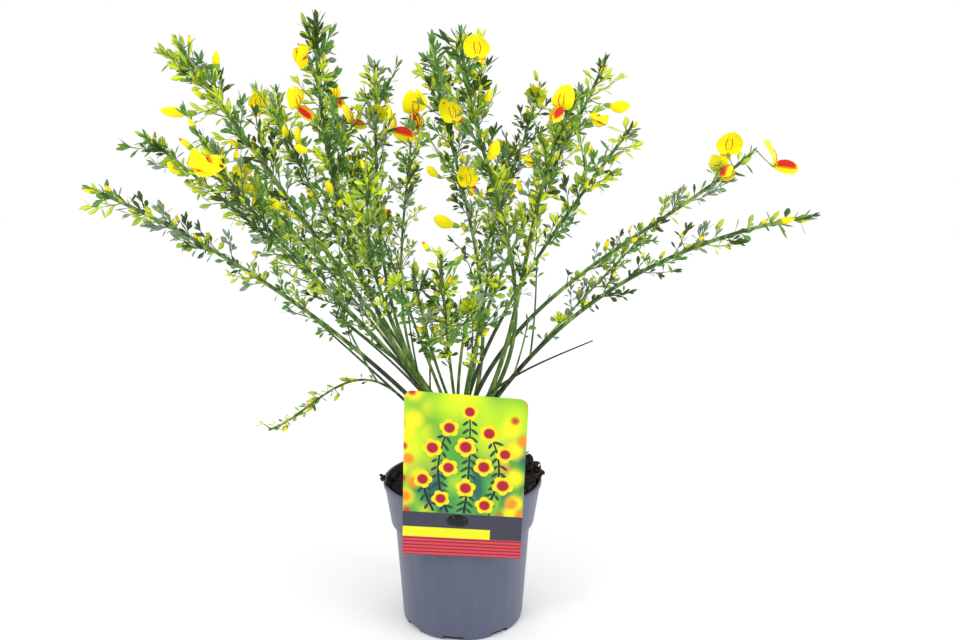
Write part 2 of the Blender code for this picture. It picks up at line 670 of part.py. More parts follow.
def mass_pieces(name, points, thickness, first, space, seed):
    """Meshes of one mass: twigs, leaves, buds and blossom, each rooted in the stem."""
    limb = stem_radius(thickness, first / PATH_STEPS)
    pieces = []

    def fits(spots):
        return all(space.holds(name, spot, first + 1, limb) for spot in spots)

    def leafed(root, axis, flat, scale, dice):
        """A leaf, or now and then a bud, if it stays in the mass's own space."""
        if dice.random() < BUD_SHARE:
            shape = blade_points(root, axis, flat, BUD_LENGTH * scale, BUD_WIDTH, BUD_WIDTH * 0.8, 0.6)
        else:
            size = LEAF_LENGTH * scale * dice.uniform(0.85, 1.15)
            shape = blade_points(root, axis, flat, size, LEAF_WIDTH * scale, LEAF_THICKNESS, 0.55)
        if fits(shape[1:]):
            pieces.append(blade_mesh(shape))
            return True
        return False

    def leaf_way(tangent, outward, dice):
        """Directions along a leaf and out of its face."""
        pitch = math.radians(LEAF_PITCH + dice.uniform(-16, 16))
        axis = (tangent * math.cos(pitch) + outward * math.sin(pitch)).normalized()
        flat = (tangent * math.sin(pitch) - outward * math.cos(pitch)
                + tangent.cross(outward) * dice.uniform(-0.5, 0.5)).normalized()
        return axis, flat

    def twig_leaves(route, dice):
        """Two leaves of a side twig, the last one almost in line with it."""
        for along, bend in ((0.55, 1.0), (0.96, 0.35)):
            spot, way = spot_on(route, along)
            u, v = across(way)
            axis, flat = leaf_way(way, (u + v * (1 - bend)).normalized(), dice)
            axis = (way * (1 - bend) + axis * bend).normalized()
            leafed(spot - axis * (0.2 * MM), axis, flat, 0.85, dice)

    for k, share, point, tangent, outward, dice in grow_nodes(seed, points, first):
        if k % TWIG_EVERY == 2 and share < 0.93:
            length = dice.uniform(*TWIG_LENGTH) * (1.15 - 0.5 * share)
            pitch = TWIG_PITCH + dice.uniform(-7, 7)
            for size in (1.0, 0.7):
                route = twig_path(point, tangent, outward, length * size, pitch)
                if fits(route[1:]):
                    radii = [TWIG_RADIUS, TWIG_RADIUS * 0.85, TWIG_RADIUS * 0.6]
                    pieces.append(tube(route, radii, 3, dice.uniform(0, 2)))
                    twig_leaves(route, dice)
                    break
        else:
            axis, flat = leaf_way(tangent, outward, dice)
            if not leafed(point, axis, flat, 1.0, dice):
                leafed(point, axis, flat, 0.6, dice)
    dice = random.Random(seed * 100 + 99)
    tip, tangent = points[-1], (points[-1] - points[-4]).normalized()
    u, v = across(tangent)
    for k in range(2):
        angle = math.radians(180 * k + dice.uniform(0, 60))
        outward = u * math.cos(angle) + v * math.sin(angle)
        axis = (tangent + outward * 0.33).normalized()
        leafed(tip - tangent * (14 * MM), axis, outward, 0.9, dice)
    for stem, share, angle, lean, reach in BLOOMS:
        if stem == name:
            pieces.extend(bloom_pieces(points, share, angle, lean, reach))
    return pieces


def bloom_pieces(points, share, angle, lean, reach):
    """A pea flower on its stalk: an upright standard behind a keel with its wings."""
    point, tangent = spot_on(points, share)
    turn = math.radians(angle)
    tilt = math.radians(lean)
    out = Vector((math.cos(turn) * math.cos(tilt), -math.sin(tilt), math.sin(turn) * math.cos(tilt)))
    base = point + out * (reach * MM)
    facing = (out + UP * 0.25).normalized()
    rise = (UP - facing * UP.dot(facing)).normalized()
    stalk_root = point - out * (0.2 * MM)
    stalk = tube([stalk_root, base + facing * (3 * MM)], [STALK_RADIUS, STALK_RADIUS * 1.5], 3)
    half_w, half_h, half_d = STANDARD_SIZE
    upright = (rise + facing * 0.25).normalized()
    standard = blade_mesh(blade_points(base - upright * (1.5 * MM), upright, facing,
                                       2 * half_h, 2 * half_w, 2 * half_d, 0.5))
    heading = (facing - rise * 0.15).normalized()
    keel = blade_mesh(blade_points(base - heading * (2 * MM), heading, rise,
                                   KEEL_LENGTH, KEEL_WIDTH, KEEL_DEPTH, 0.6))
    return [stalk, standard, keel]


def keep_main_body(mesh):
    """Drop loose scraps and sealed hollows, and keep the one outer body."""
    work = bmesh.new()
    work.from_mesh(mesh)
    bmesh.ops.triangulate(work, faces=work.faces)
    seen = set()
    islands = []
    for start in work.verts:
        if start in seen:
            continue
        stack = [start]
        seen.add(start)
        island = []
        while stack:
            vert = stack.pop()
            island.append(vert)
            for edge in vert.link_edges:
                other = edge.other_vert(vert)
                if other not in seen:
                    seen.add(other)
                    stack.append(other)
        islands.append(island)
    islands.sort(key=len)
    for island in islands[:-1]:
        bmesh.ops.delete(work, geom=island, context="VERTS")
    work.to_mesh(mesh)
    work.free()


def build_stem(name, thickness, trunk_shape, space, seed):
    """One stem: its bare bough, and where it is leafy its mass."""
    points = PATHS[name]
    start = bough_start(points, thickness, trunk_shape)
    if space is None:
        add_object(f"bough_{name}", bough_mesh(points, thickness, start, PATH_STEPS), BARK)
        return
    first = mass_start(points)
    add_object(f"bough_{name}", bough_mesh(points, thickness, start, first), BARK)
    gap_share = GAP / (points[first + 1] - points[first]).length
    stations = []
    radii = []
    for k in range(MASS_RINGS + 1):
        at = first + gap_share + (PATH_STEPS - first - gap_share) * k / MASS_RINGS
        stations.append(spot_on(points, at / PATH_STEPS)[0])
        radii.append(stem_radius(thickness, at / PATH_STEPS) * MASS_SWELL)
    mass = add_object(f"mass_{name}", tube(stations, radii, MASS_SIDES), FOLIAGE)
    group = bpy.data.collections.new("pieces")
    bpy.context.scene.collection.children.link(group)
    for piece in mass_pieces(name, points, thickness, first, space, seed):
        piece.materials.append(FOLIAGE)
        group.objects.link(bpy.data.objects.new("piece", piece))
    apply_boolean(mass, group, "UNION", "MANIFOLD")
    bpy.data.collections.remove(group)
    keep_main_body(mass.data)
    mass.data.materials.clear()
    mass.data.materials.append(FOLIAGE)


for leftover in list(bpy.data.objects):
    bpy.data.objects.remove(leftover)

POT_PLASTIC = material("pot_plastic", (0.16, 0.16, 0.21), 0.45)
PEAT = material("peat", (0.03, 0.02, 0.014), 0.95)
CARD_PRINT = material("card_print", (0.72, 0.78, 0.05), 0.3)
STUD_PLASTIC = material("stud_plastic", (0.01, 0.01, 0.012), 0.2)
WOOD = material("wood", (0.16, 0.11, 0.07), 0.8)
BARK = material("green_bark", (0.12, 0.2, 0.05), 0.6)
FOLIAGE = material("foliage", (0.13, 0.26, 0.05), 0.6)

build_pot()
build_soil()
build_card()
trunk = build_trunk()
trunk_shape = BVHTree.FromPolygons([v.co for v in trunk.data.vertices],
                                   [p.vertices for p in trunk.data.polygons])
PATHS = {name: stem_path(row[0], row[2]) for name, row in {**STEMS, **CUT_SHOOTS}.items()}
space = Space(PATHS)
for number, (name, row) in enumerate(STEMS.items()):
    build_stem(name, row[1], trunk_shape, space, STEM_SEED + number)
for name, row in CUT_SHOOTS.items():
    build_stem(name, row[1], trunk_shape, None, 0)
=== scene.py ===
"""Looks of the potted flowering broom: pot, peat, card, trunk, stems, leaves, buds and blossom."""
import math
import random

import bmesh
import bpy
from mathutils import Matrix, Vector, noise
from mathutils.kdtree import KDTree


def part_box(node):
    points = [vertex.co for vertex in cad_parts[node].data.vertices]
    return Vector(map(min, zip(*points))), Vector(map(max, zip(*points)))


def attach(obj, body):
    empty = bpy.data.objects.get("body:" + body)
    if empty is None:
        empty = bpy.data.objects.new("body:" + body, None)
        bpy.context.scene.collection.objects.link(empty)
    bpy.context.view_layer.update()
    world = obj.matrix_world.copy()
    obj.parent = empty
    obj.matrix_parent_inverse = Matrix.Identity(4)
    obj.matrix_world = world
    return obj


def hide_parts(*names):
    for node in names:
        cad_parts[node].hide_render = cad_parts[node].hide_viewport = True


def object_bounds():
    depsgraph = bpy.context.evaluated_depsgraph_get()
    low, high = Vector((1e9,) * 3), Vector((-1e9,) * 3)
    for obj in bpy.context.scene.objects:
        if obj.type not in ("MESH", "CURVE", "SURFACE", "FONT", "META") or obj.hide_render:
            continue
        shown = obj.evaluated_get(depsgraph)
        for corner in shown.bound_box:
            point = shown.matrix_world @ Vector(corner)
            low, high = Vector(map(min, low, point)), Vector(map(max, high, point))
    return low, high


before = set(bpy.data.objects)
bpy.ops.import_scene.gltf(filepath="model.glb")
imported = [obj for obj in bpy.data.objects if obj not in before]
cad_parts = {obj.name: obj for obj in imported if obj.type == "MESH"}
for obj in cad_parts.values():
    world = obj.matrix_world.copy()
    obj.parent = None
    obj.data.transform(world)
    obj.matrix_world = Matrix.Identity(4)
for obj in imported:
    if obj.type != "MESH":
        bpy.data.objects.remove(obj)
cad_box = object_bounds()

MM = 0.001
UP = Vector((0, 0, 1))
BACK = Vector((0, 1, 0))


# Pot
# A two-litre nursery pot, injection moulded in grey polypropylene. It has a deep collar that
# the next pot in a stack rests on, a rolled lip, and eight drain slots cut through its foot.
POT_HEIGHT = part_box("pot")[1][2]
POT_RIM_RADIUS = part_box("pot")[1][0]
POT_COLLAR_FOOT_RADIUS = 77.3 * MM
POT_COLLAR_DEPTH = 46 * MM
POT_BODY_TOP_RADIUS = 72.5 * MM
POT_BASE_RADIUS = 65.5 * MM
POT_WALL = 1.4 * MM
POT_LIP = 1.6 * MM
FOOT_ROUND = 3 * MM
STEP_ROUND = 2 * MM
COLLAR_ROUND = 1.2 * MM
LIP_ROUND = 0.9 * MM
LIP_INNER_ROUND = 0.8 * MM
LIP_DEPTH = 3 * MM
# The collar meets the lip's underside this far inside it and this far below the rim
LIP_UNDERSIDE = (0.5 * MM, 5.2 * MM)
POT_ROUND = 160
DRAIN_COUNT = 8
DRAIN_SIZE = (9 * MM, 21 * MM, 10 * MM)
DRAIN_TURN = math.radians(-98)


def linear(code):
    """Linear colour of an sRGB hex value."""
    parts = [int(code[i:i + 2], 16) / 255 for i in (1, 3, 5)]
    return (*[c / 12.92 if c <= 0.04045 else ((c + 0.055) / 1.055) ** 2.4 for c in parts], 1)


def set_inputs(node, inputs):
    """Set each of these inputs of a node to a value, or link it to a socket."""
    for name, value in inputs.items():
        if isinstance(value, bpy.types.NodeSocket):
            node.id_data.links.new(value, node.inputs[name])
        else:
            node.inputs[name].default_value = value


def add_node(tree, kind, inputs=None, **settings):
    """Add a node with its settings and inputs."""
    node = tree.nodes.new(kind)
    for name, value in settings.items():
        setattr(node, name, value)
    set_inputs(node, inputs or {})
    return node


def new_finish(name, shine):
    """A material whose Principled shader has these constant settings, its tree and shader."""
    made = bpy.data.materials.new(name)
    made.use_nodes = True
    shader = made.node_tree.nodes["Principled BSDF"]
    set_inputs(shader, shine)
    return made, made.node_tree, shader


def blotches(tree, place, size, colours, detail=3.0, stretch=(1, 1, 1), spread=(0.35, 0.65)):
    """Noise of a real blotch size, ramped through colours, and the noise itself."""
    moved = add_node(tree, "ShaderNodeMapping", {"Vector": place, "Scale": stretch})
    grain = add_node(tree, "ShaderNodeTexNoise",
                     {"Vector": moved.outputs[0], "Scale": 1 / size, "Detail": detail})
    ramp = add_node(tree, "ShaderNodeValToRGB", {"Fac": grain.outputs["Fac"]})
    for k, code in enumerate(colours):
        at = spread[0] + (spread[1] - spread[0]) * k / (len(colours) - 1)
        stop = ramp.color_ramp.elements[k] if k < 2 else ramp.color_ramp.elements.new(at)
        stop.position = at
        stop.color = linear(code)
    return ramp.outputs["Color"], grain.outputs["Fac"]


def overlaid(tree, colour, coats):
    """A colour with others over it, from pairs of a mask and a coat that shows where it is 1."""
    for mask, coat in coats:
        below, above = [linear(c) if isinstance(c, str) else c for c in (colour, coat)]
        colour = add_node(tree, "ShaderNodeMix", {0: mask, 6: below, 7: above}, data_type="RGBA").outputs[2]
    return colour


def linked(name, data):
    """A new object of this data in the scene."""
    made = bpy.data.objects.new(name, data)
    bpy.context.scene.collection.objects.link(made)
    return made


def opened(*meshes):
    """An editable copy of one mesh, or of several as one."""
    work = bmesh.new()
    for mesh in meshes:
        work.from_mesh(mesh)
    return work


def closed(work):
    """The plain mesh of an editable copy."""
    mesh = bpy.data.meshes.new("shape")
    work.to_mesh(mesh)
    work.free()
    return mesh


def baked(holder, modifier):
    """The plain mesh that an object has under a modifier, which is then removed."""
    made = bpy.data.meshes.new_from_object(holder.evaluated_get(bpy.context.evaluated_depsgraph_get()))
    holder.modifiers.remove(modifier)
    return made


def add_piece(name, mesh, finish, replaced=(), smooth=40):
    """Link a finished piece with its finish, hang it on the root body, and hide the parts that it replaces.
    """
    mesh.name = name
    piece = linked(name, mesh)
    mesh.materials.clear()
    mesh.materials.append(finish)
    if smooth:
        mesh.shade_smooth()
        mesh.set_sharp_from_angle(angle=math.radians(smooth))
    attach(piece, "root")
    if replaced:
        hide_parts(*replaced)
    return piece


def mesh_of(verts, faces):
    """A mesh from points and faces, with its faces turned outwards."""
    mesh = bpy.data.meshes.new("points")
    mesh.from_pydata([tuple(v) for v in verts], [], faces)
    work = opened(mesh)
    bmesh.ops.recalc_face_normals(work, faces=work.faces)
    return closed(work)


def turns(count):
    """Angles of equal steps round a circle."""
    return [2 * math.pi * k / count for k in range(count)]


def solid_of(rings):
    """A closed solid through rings of points. A ring of one is a pole, and a first ring of more
    gets a cap."""
    faces = [list(range(len(rings[0])))[::-1]] if len(rings[0]) > 1 else []
    start = 0
    for low, high in zip(rings, rings[1:]):
        after = start + len(low)
        for k in range(max(len(low), len(high))):
            quad = [start + k % len(low), start + (k + 1) % len(low),
                    after + (k + 1) % len(high), after + k % len(high)]
            faces.append(list(dict.fromkeys(quad)))
        start = after
    return mesh_of([point for ring in rings for point in ring], faces)


def level_ring(radius, height, count):
    """A level ring of points about the upright axis. A radius of 0 gives a pole."""
    return [(radius * math.cos(a), radius * math.sin(a), height) for a in turns(count if radius else 1)]


def arc(centre, radius, start, end, steps=4):
    """Profile points along an arc, in degrees."""
    angles = [math.radians(start + (end - start) * k / steps) for k in range(steps + 1)]
    return [(centre[0] + radius * math.cos(a), centre[1] + radius * math.sin(a)) for a in angles]


def add_block(work, size, place):
    """Add a block of this size about a place."""
    verts = bmesh.ops.create_cube(work, size=1)["verts"]
    bmesh.ops.scale(work, vec=size, verts=verts)
    bmesh.ops.translate(work, vec=place, verts=verts)


def cut_out(blank, size, place, turn=0.0):
    """Cut a block of this size about a place, turned about Z, out of an object."""
    work = bmesh.new()
    add_block(work, size, place)
    bmesh.ops.rotate(work, matrix=Matrix.Rotation(turn, 3, "Z"), verts=work.verts)
    cutter = linked("cutter", closed(work))
    cut = blank.modifiers.new("cut", "BOOLEAN")
    cut.operation = "DIFFERENCE"
    cut.object = cutter
    blank.data = baked(blank, cut)
    bpy.data.objects.remove(cutter)


pot_collar_z = POT_HEIGHT - POT_COLLAR_DEPTH
pot_step_z = pot_collar_z - (POT_COLLAR_FOOT_RADIUS - POT_BODY_TOP_RADIUS)
pot_lip_out = POT_RIM_RADIUS - LIP_ROUND
pot_inner = [(POT_BASE_RADIUS - POT_WALL, FOOT_ROUND), (POT_BODY_TOP_RADIUS - POT_WALL, pot_step_z),
             (POT_COLLAR_FOOT_RADIUS - POT_WALL, pot_collar_z + STEP_ROUND)]
pot_profile = [
    (0, 0),
    *arc((POT_BASE_RADIUS - FOOT_ROUND, FOOT_ROUND), FOOT_ROUND, -90, 0),
    *arc((POT_BODY_TOP_RADIUS + STEP_ROUND, pot_step_z), STEP_ROUND, 180, 130),
    *arc((POT_COLLAR_FOOT_RADIUS - COLLAR_ROUND, pot_collar_z + COLLAR_ROUND), COLLAR_ROUND, -60, 0),
    (pot_lip_out - LIP_UNDERSIDE[0], POT_HEIGHT - LIP_UNDERSIDE[1]),
    *arc((pot_lip_out, POT_HEIGHT - LIP_ROUND - LIP_DEPTH), LIP_ROUND, -60, 0),
    *arc((pot_lip_out, POT_HEIGHT - LIP_ROUND), LIP_ROUND, 0, 90),
    *arc((POT_RIM_RADIUS - POT_LIP - 0.6 * MM, POT_HEIGHT - LIP_INNER_ROUND), LIP_INNER_ROUND, 90, 180),
    *pot_inner[::-1],
    (POT_BASE_RADIUS - POT_WALL - 1 * MM, POT_WALL),
    (0, POT_WALL),
]
pot = linked("pot_blank", solid_of([level_ring(*spot, POT_ROUND) for spot in pot_profile]))
for angle in turns(DRAIN_COUNT):
    cut_out(pot, DRAIN_SIZE, (POT_BASE_RADIUS, 0, 0), DRAIN_TURN + angle)

# Polypropylene from a spark-eroded mould: slate blue-grey and matt, with a soft broad shine,
# faint upright flow marks and dried specks of peat. The wall inside the collar is painted dark as shade
pot_finish, tree, shader = new_finish("pot_polypropylene", {"IOR": 1.49})
place = add_node(tree, "ShaderNodeTexCoord").outputs["Object"]
flow, flow_grain = blotches(tree, place, 14 * MM, ("#4D5369", "#50566D", "#535A71"), stretch=(1, 1, 0.12))
dust, _ = blotches(tree, place, 2.5 * MM, ("#000000", "#FFFFFF"), detail=6, spread=(0.66, 0.74))
# Painted shade: a mask of the inner wall of the collar, above its foot, which is painted dark grey
flat = add_node(tree, "ShaderNodeVectorMath", {0: place, 1: (1, 1, 0)}, operation="MULTIPLY")
reach = add_node(tree, "ShaderNodeVectorMath", {0: flat.outputs[0]}, operation="LENGTH")
rise = add_node(tree, "ShaderNodeSeparateXYZ", {0: place}).outputs["Z"]
collar_flare = (POT_RIM_RADIUS - POT_COLLAR_FOOT_RADIUS) / POT_COLLAR_DEPTH
collar_line = add_node(tree, "ShaderNodeMath", {0: rise, 1: -collar_flare, 2: reach.outputs["Value"]},
                       operation="MULTIPLY_ADD")
wall_line = POT_COLLAR_FOOT_RADIUS - collar_flare * pot_collar_z
inside = add_node(tree, "ShaderNodeMapRange", {0: collar_line.outputs[0], 1: wall_line - 0.5 * MM,
                                               2: wall_line - 0.9 * MM})
above = add_node(tree, "ShaderNodeMath", {0: rise, 1: pot_collar_z + STEP_ROUND}, operation="GREATER_THAN")
painted_shade_inside = add_node(tree, "ShaderNodeMath", {0: inside.outputs[0], 1: above.outputs[0]}, operation="MULTIPLY")
spark = add_node(tree, "ShaderNodeTexNoise", {"Vector": place, "Scale": 1 / (0.7 * MM), "Detail": 2.0})
shine = add_node(tree, "ShaderNodeMapRange", {0: flow_grain, 3: 0.32, 4: 0.42})
bump = add_node(tree, "ShaderNodeBump",
                {"Height": spark.outputs["Fac"], "Distance": 0.05 * MM, "Strength": 1.0})
set_inputs(shader, {"Base Color": overlaid(tree, flow, ((dust, "#3A3735"), (painted_shade_inside.outputs[0], "#29292E"))),
                    "Roughness": shine.outputs[0], "Normal": bump.outputs[0]})
add_piece("pot_moulded", pot.data, pot_finish, ["pot"], smooth=30)
bpy.data.objects.remove(pot)


# Soil
# Peat and composted bark, filled to just under the rim, sunk at the left where it has dried
# and heaped over the rim at the right and back. Loose crumbs and bark chips lie on it.
SOIL_LEVEL = 150 * MM
SOIL_FLAT_RADIUS = 21 * MM
SOIL_HEAP = 11 * MM
SOIL_DIP = 9 * MM
SOIL_LUMP = 2.2 * MM
SOIL_LUMP_WAVES = (20 * MM, 23 * MM, 11 * MM)
SOIL_LUMP_EASE = 0.4
SOIL_RINGS = 34
SOIL_ROUND = 150
# Clods: their width and height, the share of the soil's reach inside which there are none, and
# how steeply they come in outside it
SOIL_CLOD = (5 * MM, 1.5 * MM)
SOIL_CALM = (0.28, 5)
# Gaps to the pot's wall at the foot, above it and at the top, and the dip of the top's edge
SOIL_GAPS = (1.2 * MM, 0.5 * MM, 0.8 * MM)
SOIL_EDGE_DIP = 2 * MM
SOIL_FOOT = POT_WALL + 0.6 * MM
# Loose pieces keep this far off the trunk, off steeper places than this and above this height
LOOSE_INNER_RADIUS = 19 * MM
LOOSE_STEEPEST = 0.3
LOOSE_LOWEST = SOIL_LEVEL - 22 * MM
CRUMB_SEED = 11
CHIP_SEED = 23


def soil_height(x, y):
    """Height of the soil: level round the trunk, then heaped or sunk, with soft lumps."""
    radius = math.hypot(x, y)
    edge = max(0.0, (radius - SOIL_FLAT_RADIUS) / (POT_RIM_RADIUS - SOIL_FLAT_RADIUS))
    side = (x * 0.9 + y * 0.45) / POT_RIM_RADIUS
    lift = SOIL_HEAP * max(0.0, side) - SOIL_DIP * max(0.0, -side)
    wave_x, wave_y, wave_slant = (2 * math.pi / length for length in SOIL_LUMP_WAVES)
    lumps = math.sin(x * wave_x + 1.3) * math.cos(y * wave_y - 0.4) + 0.6 * math.sin((x - y) * wave_slant)
    return SOIL_LEVEL + edge * lift + min(1.0, edge / SOIL_LUMP_EASE) * SOIL_LUMP * lumps


def pot_inside(height):
    """Radius of the pot's inner wall at a height."""
    marks = [*pot_inner, (POT_RIM_RADIUS - POT_LIP - 1.4 * MM, POT_HEIGHT)]
    for (r0, z0), (r1, z1) in zip(marks, marks[1:]):
        if height <= z1:
            return r0 + (r1 - r0) * max(0.0, (height - z0) / (z1 - z0))
    return marks[-1][0]


soil_rings = [level_ring(0, SOIL_FOOT, 1)]
for height in (SOIL_FOOT, 4 * MM, pot_step_z, pot_collar_z + 3 * MM):
    radius = pot_inside(height) - SOIL_GAPS[0 if height == SOIL_FOOT else 1]
    soil_rings.append(level_ring(radius, height, SOIL_ROUND))
soil_reach = pot_inside(SOIL_LEVEL - SOIL_DIP) - SOIL_GAPS[2]
for ring in range(SOIL_RINGS, 0, -1):
    soil_rings.append([Vector((math.cos(a), math.sin(a), 0)) * (soil_reach * ring / SOIL_RINGS)
                       for a in turns(SOIL_ROUND)])
    ease = min(1.0, max(0.0, ring / SOIL_RINGS - SOIL_CALM[0]) * SOIL_CALM[1])
    dip = SOIL_EDGE_DIP if ring == SOIL_RINGS else 0
    for spot in soil_rings[-1]:
        clod = noise.noise(spot / SOIL_CLOD[0] + UP * 3) + 0.5 * noise.noise(spot / SOIL_CLOD[0] * 2.3)
        spot.z = soil_height(spot.x, spot.y) + clod * SOIL_CLOD[1] * ease - dip
soil_mesh = solid_of(soil_rings + [[(0, 0, SOIL_LEVEL)]])


def mottled(name, shine, size, colours, depth, **pattern):
    """A finish whose colour and relief follow one noise of a real blotch size."""
    made, tree, shader = new_finish(name, shine)
    place = add_node(tree, "ShaderNodeTexCoord").outputs["Object"]
    colour, grain = blotches(tree, place, size, colours, **pattern)
    bump = add_node(tree, "ShaderNodeBump", {"Height": grain, "Distance": depth, "Strength": 1.0})
    set_inputs(shader, {"Base Color": colour, "Normal": bump.outputs[0]})
    return made


# Damp peat: almost black with brown fibres, wholly matt, with a crumbly surface
peat_finish = mottled("peat", {"IOR": 1.4, "Roughness": 0.95, "Specular IOR Level": 0.15}, 3.5 * MM,
                      ("#17161A", "#2A2628", "#403632"), 1.2 * MM, detail=6)
add_piece("peat_surface", soil_mesh, peat_finish, ["soil"], smooth=60)


def new_tree(name, inputs):
    """A Geometry Nodes tree with a geometry input and output and these further inputs."""
    tree = bpy.data.node_groups.new(name, "GeometryNodeTree")
    tree.interface.new_socket("Geometry", in_out="INPUT", socket_type="NodeSocketGeometry")
    for label, kind in inputs.items():
        tree.interface.new_socket(label, in_out="INPUT", socket_type="NodeSocket" + kind)
    tree.interface.new_socket("Geometry", in_out="OUTPUT", socket_type="NodeSocketGeometry")
    return tree, add_node(tree, "NodeGroupInput").outputs


def end_tree(tree, geometry, finish):
    """The end of every tree: instances made real, and the finish set."""
    real = add_node(tree, "GeometryNodeRealizeInstances", {"Geometry": geometry})
    dressed = add_node(tree, "GeometryNodeSetMaterial", {"Geometry": real.outputs[0], "Material": finish})
    add_node(tree, "NodeGroupOutput", {"Geometry": dressed.outputs[0]})


def grown(tree, mesh, settings):
    """The plain mesh that a tree makes of a start mesh, with its named inputs set."""
    holder = linked("holder", mesh)
    modifier = holder.modifiers.new("grow", "NODES")
    modifier.node_group = tree
    for socket in tree.interface.items_tree:
        if socket.name in settings:
            modifier[socket.identifier] = settings[socket.name]
    made = baked(holder, modifier)
    bpy.data.objects.remove(holder)
    return made


def lump(name, size, seed):
    """A small rough lump of this size, of a few dozen faces."""
    work = bmesh.new()
    bmesh.ops.create_icosphere(work, subdivisions=1, radius=0.5)
    for vert in work.verts:
        vert.co *= 1 + 0.5 * noise.noise(vert.co * 3 + UP * seed)
        vert.co = Vector((vert.co.x * size[0], vert.co.y * size[1], vert.co.z * size[2]))
    return linked(name, closed(work))


# Scatters one lump over a surface, lying along it, at a density per square metre
strew, given = new_tree("strew_lumps", {"Lump": "Object", "Density": "Float", "Smallest": "Float",
                                        "Largest": "Float", "Seed": "Int", "Finish": "Material"})
spots = add_node(strew, "GeometryNodeDistributePointsOnFaces",
                 {"Mesh": given["Geometry"], "Density": given["Density"], "Seed": given["Seed"]})
shape = add_node(strew, "GeometryNodeObjectInfo", {"Object": given["Lump"], "As Instance": True})
spin = add_node(strew, "FunctionNodeRandomValue", {0: (-0.4, -0.4, 0), 1: (0.4, 0.4, 6.3),
                                                   "Seed": given["Seed"]}, data_type="FLOAT_VECTOR")
turn = add_node(strew, "FunctionNodeEulerToRotation", {0: spin.outputs[0]})
lie = add_node(strew, "FunctionNodeRotateRotation", {0: spots.outputs["Rotation"], 1: turn.outputs[0]},
               rotation_space="LOCAL")
grade = add_node(strew, "FunctionNodeRandomValue", {2: given["Smallest"], 3: given["Largest"],
                                                    "Seed": given["Seed"]}, data_type="FLOAT")
placed = add_node(strew, "GeometryNodeInstanceOnPoints",
                  {"Points": spots.outputs["Points"], "Instance": shape.outputs["Geometry"],
                   "Rotation": lie.outputs[0], "Scale": grade.outputs[1]})
end_tree(strew, placed.outputs[0], given["Finish"])

# The open top of the soil, which the loose pieces lie on
work = opened(soil_mesh)
work.normal_update()
middles = {face: face.calc_center_median() for face in work.faces}
hidden = [face for face, middle in middles.items() if face.normal.z < LOOSE_STEEPEST
          or middle.z < LOOSE_LOWEST or middle.to_2d().length < LOOSE_INNER_RADIUS]
bmesh.ops.delete(work, geom=hidden, context="FACES")
top_mesh = closed(work)

# Composted bark: black-brown and dull, redder where it has split, in flat chips
chip_finish = mottled("composted_bark", {"IOR": 1.45, "Roughness": 0.85, "Specular IOR Level": 0.3}, 7 * MM,
                      ("#16100F", "#2B1D1A", "#5A352A"), 0.4 * MM, detail=4)
crumb = lump("crumb", (1, 0.8, 0.7), 1)
chip = lump("chip", (1, 0.5, 0.17), 5)
crumbs = grown(strew, top_mesh, {"Lump": crumb, "Density": 60000.0, "Smallest": 1.2 * MM,
                                 "Largest": 4.2 * MM, "Seed": CRUMB_SEED, "Finish": peat_finish})
chips = grown(strew, top_mesh, {"Lump": chip, "Density": 3600.0, "Smallest": 5 * MM,
                                "Largest": 11 * MM, "Seed": CHIP_SEED, "Finish": chip_finish})

# Sets one shape at every point of a mesh, turned and sized as the point says
plant, given = new_tree("plant_shapes", {"Shape": "Object", "Finish": "Material"})
shape = add_node(plant, "GeometryNodeObjectInfo", {"Object": given["Shape"], "As Instance": True})
turn = add_node(plant, "GeometryNodeInputNamedAttribute", {"Name": "turn"}, data_type="QUATERNION")
size = add_node(plant, "GeometryNodeInputNamedAttribute", {"Name": "size"}, data_type="FLOAT_VECTOR")
placed = add_node(plant, "GeometryNodeInstanceOnPoints",
                  {"Points": given["Geometry"], "Instance": shape.outputs["Geometry"],
                   "Rotation": turn.outputs[0], "Scale": size.outputs[0]})
end_tree(plant, placed.outputs[0], given["Finish"])


def planted(shape, rows, finish):
    """One mesh of a shape at each row: (root, direction, face, (length, width, depth))."""
    mesh = bpy.data.meshes.new("spots")
    mesh.from_pydata([tuple(row[0]) for row in rows], [], [])
    quaternions = []
    for _, axis, face, _ in rows:
        axis = axis.normalized()
        side = face.cross(axis).normalized()
        quaternions.extend(Matrix((axis, side, axis.cross(side))).transposed().to_quaternion())
    mesh.attributes.new("turn", "QUATERNION", "POINT").data.foreach_set("value", quaternions)
    sizes = [measure for row in rows for measure in row[3]]
    mesh.attributes.new("size", "FLOAT_VECTOR", "POINT").data.foreach_set("vector", sizes)
    return grown(plant, mesh, {"Shape": shape, "Finish": finish})


# Clods and bark that lie up against the rim and over it: place and length, in millimetres
RIM_CLODS = ((84, 1, 157, 11), (82, 9, 159, 13), (79, 17, 161, 14), (75, 26, 162, 14), (70, 36, 163, 15),
             (62, 47, 163, 14), (78, -4, 157, 11), (74, 10, 161, 14), (68, 26, 163, 15), (60, 38, 164, 14),
             (80, 13, 164, 8), (75, 31, 167, 9), (-84, -14, 159, 10), (-79, -22, 156, 8), (-76, 12, 151, 10))
RIM_CHIPS = ((81, 16, 165, 12), (71, 40, 168, 11), (86, 2, 160, 10), (-86, -12, 161, 11))
dice = random.Random(CHIP_SEED)
for name, strewn, shape, finish, rows, thin in (("peat_crumbs", crumbs, crumb, peat_finish, RIM_CLODS, 0.75),
                                                ("bark_chips", chips, chip, chip_finish, RIM_CHIPS, 1.0)):
    laid = [(Vector(row[:3]) * MM, Vector([dice.uniform(-1, 1) for _ in range(3)]),
             Vector((dice.uniform(-0.6, 0.6), dice.uniform(-0.6, 0.6), 1)),
             (row[3] * MM, row[3] * thin * MM, row[3] * thin * MM)) for row in rows]
    add_piece(name, closed(opened(strewn, planted(shape, laid, finish))), finish, smooth=0)
    bpy.data.objects.remove(shape)


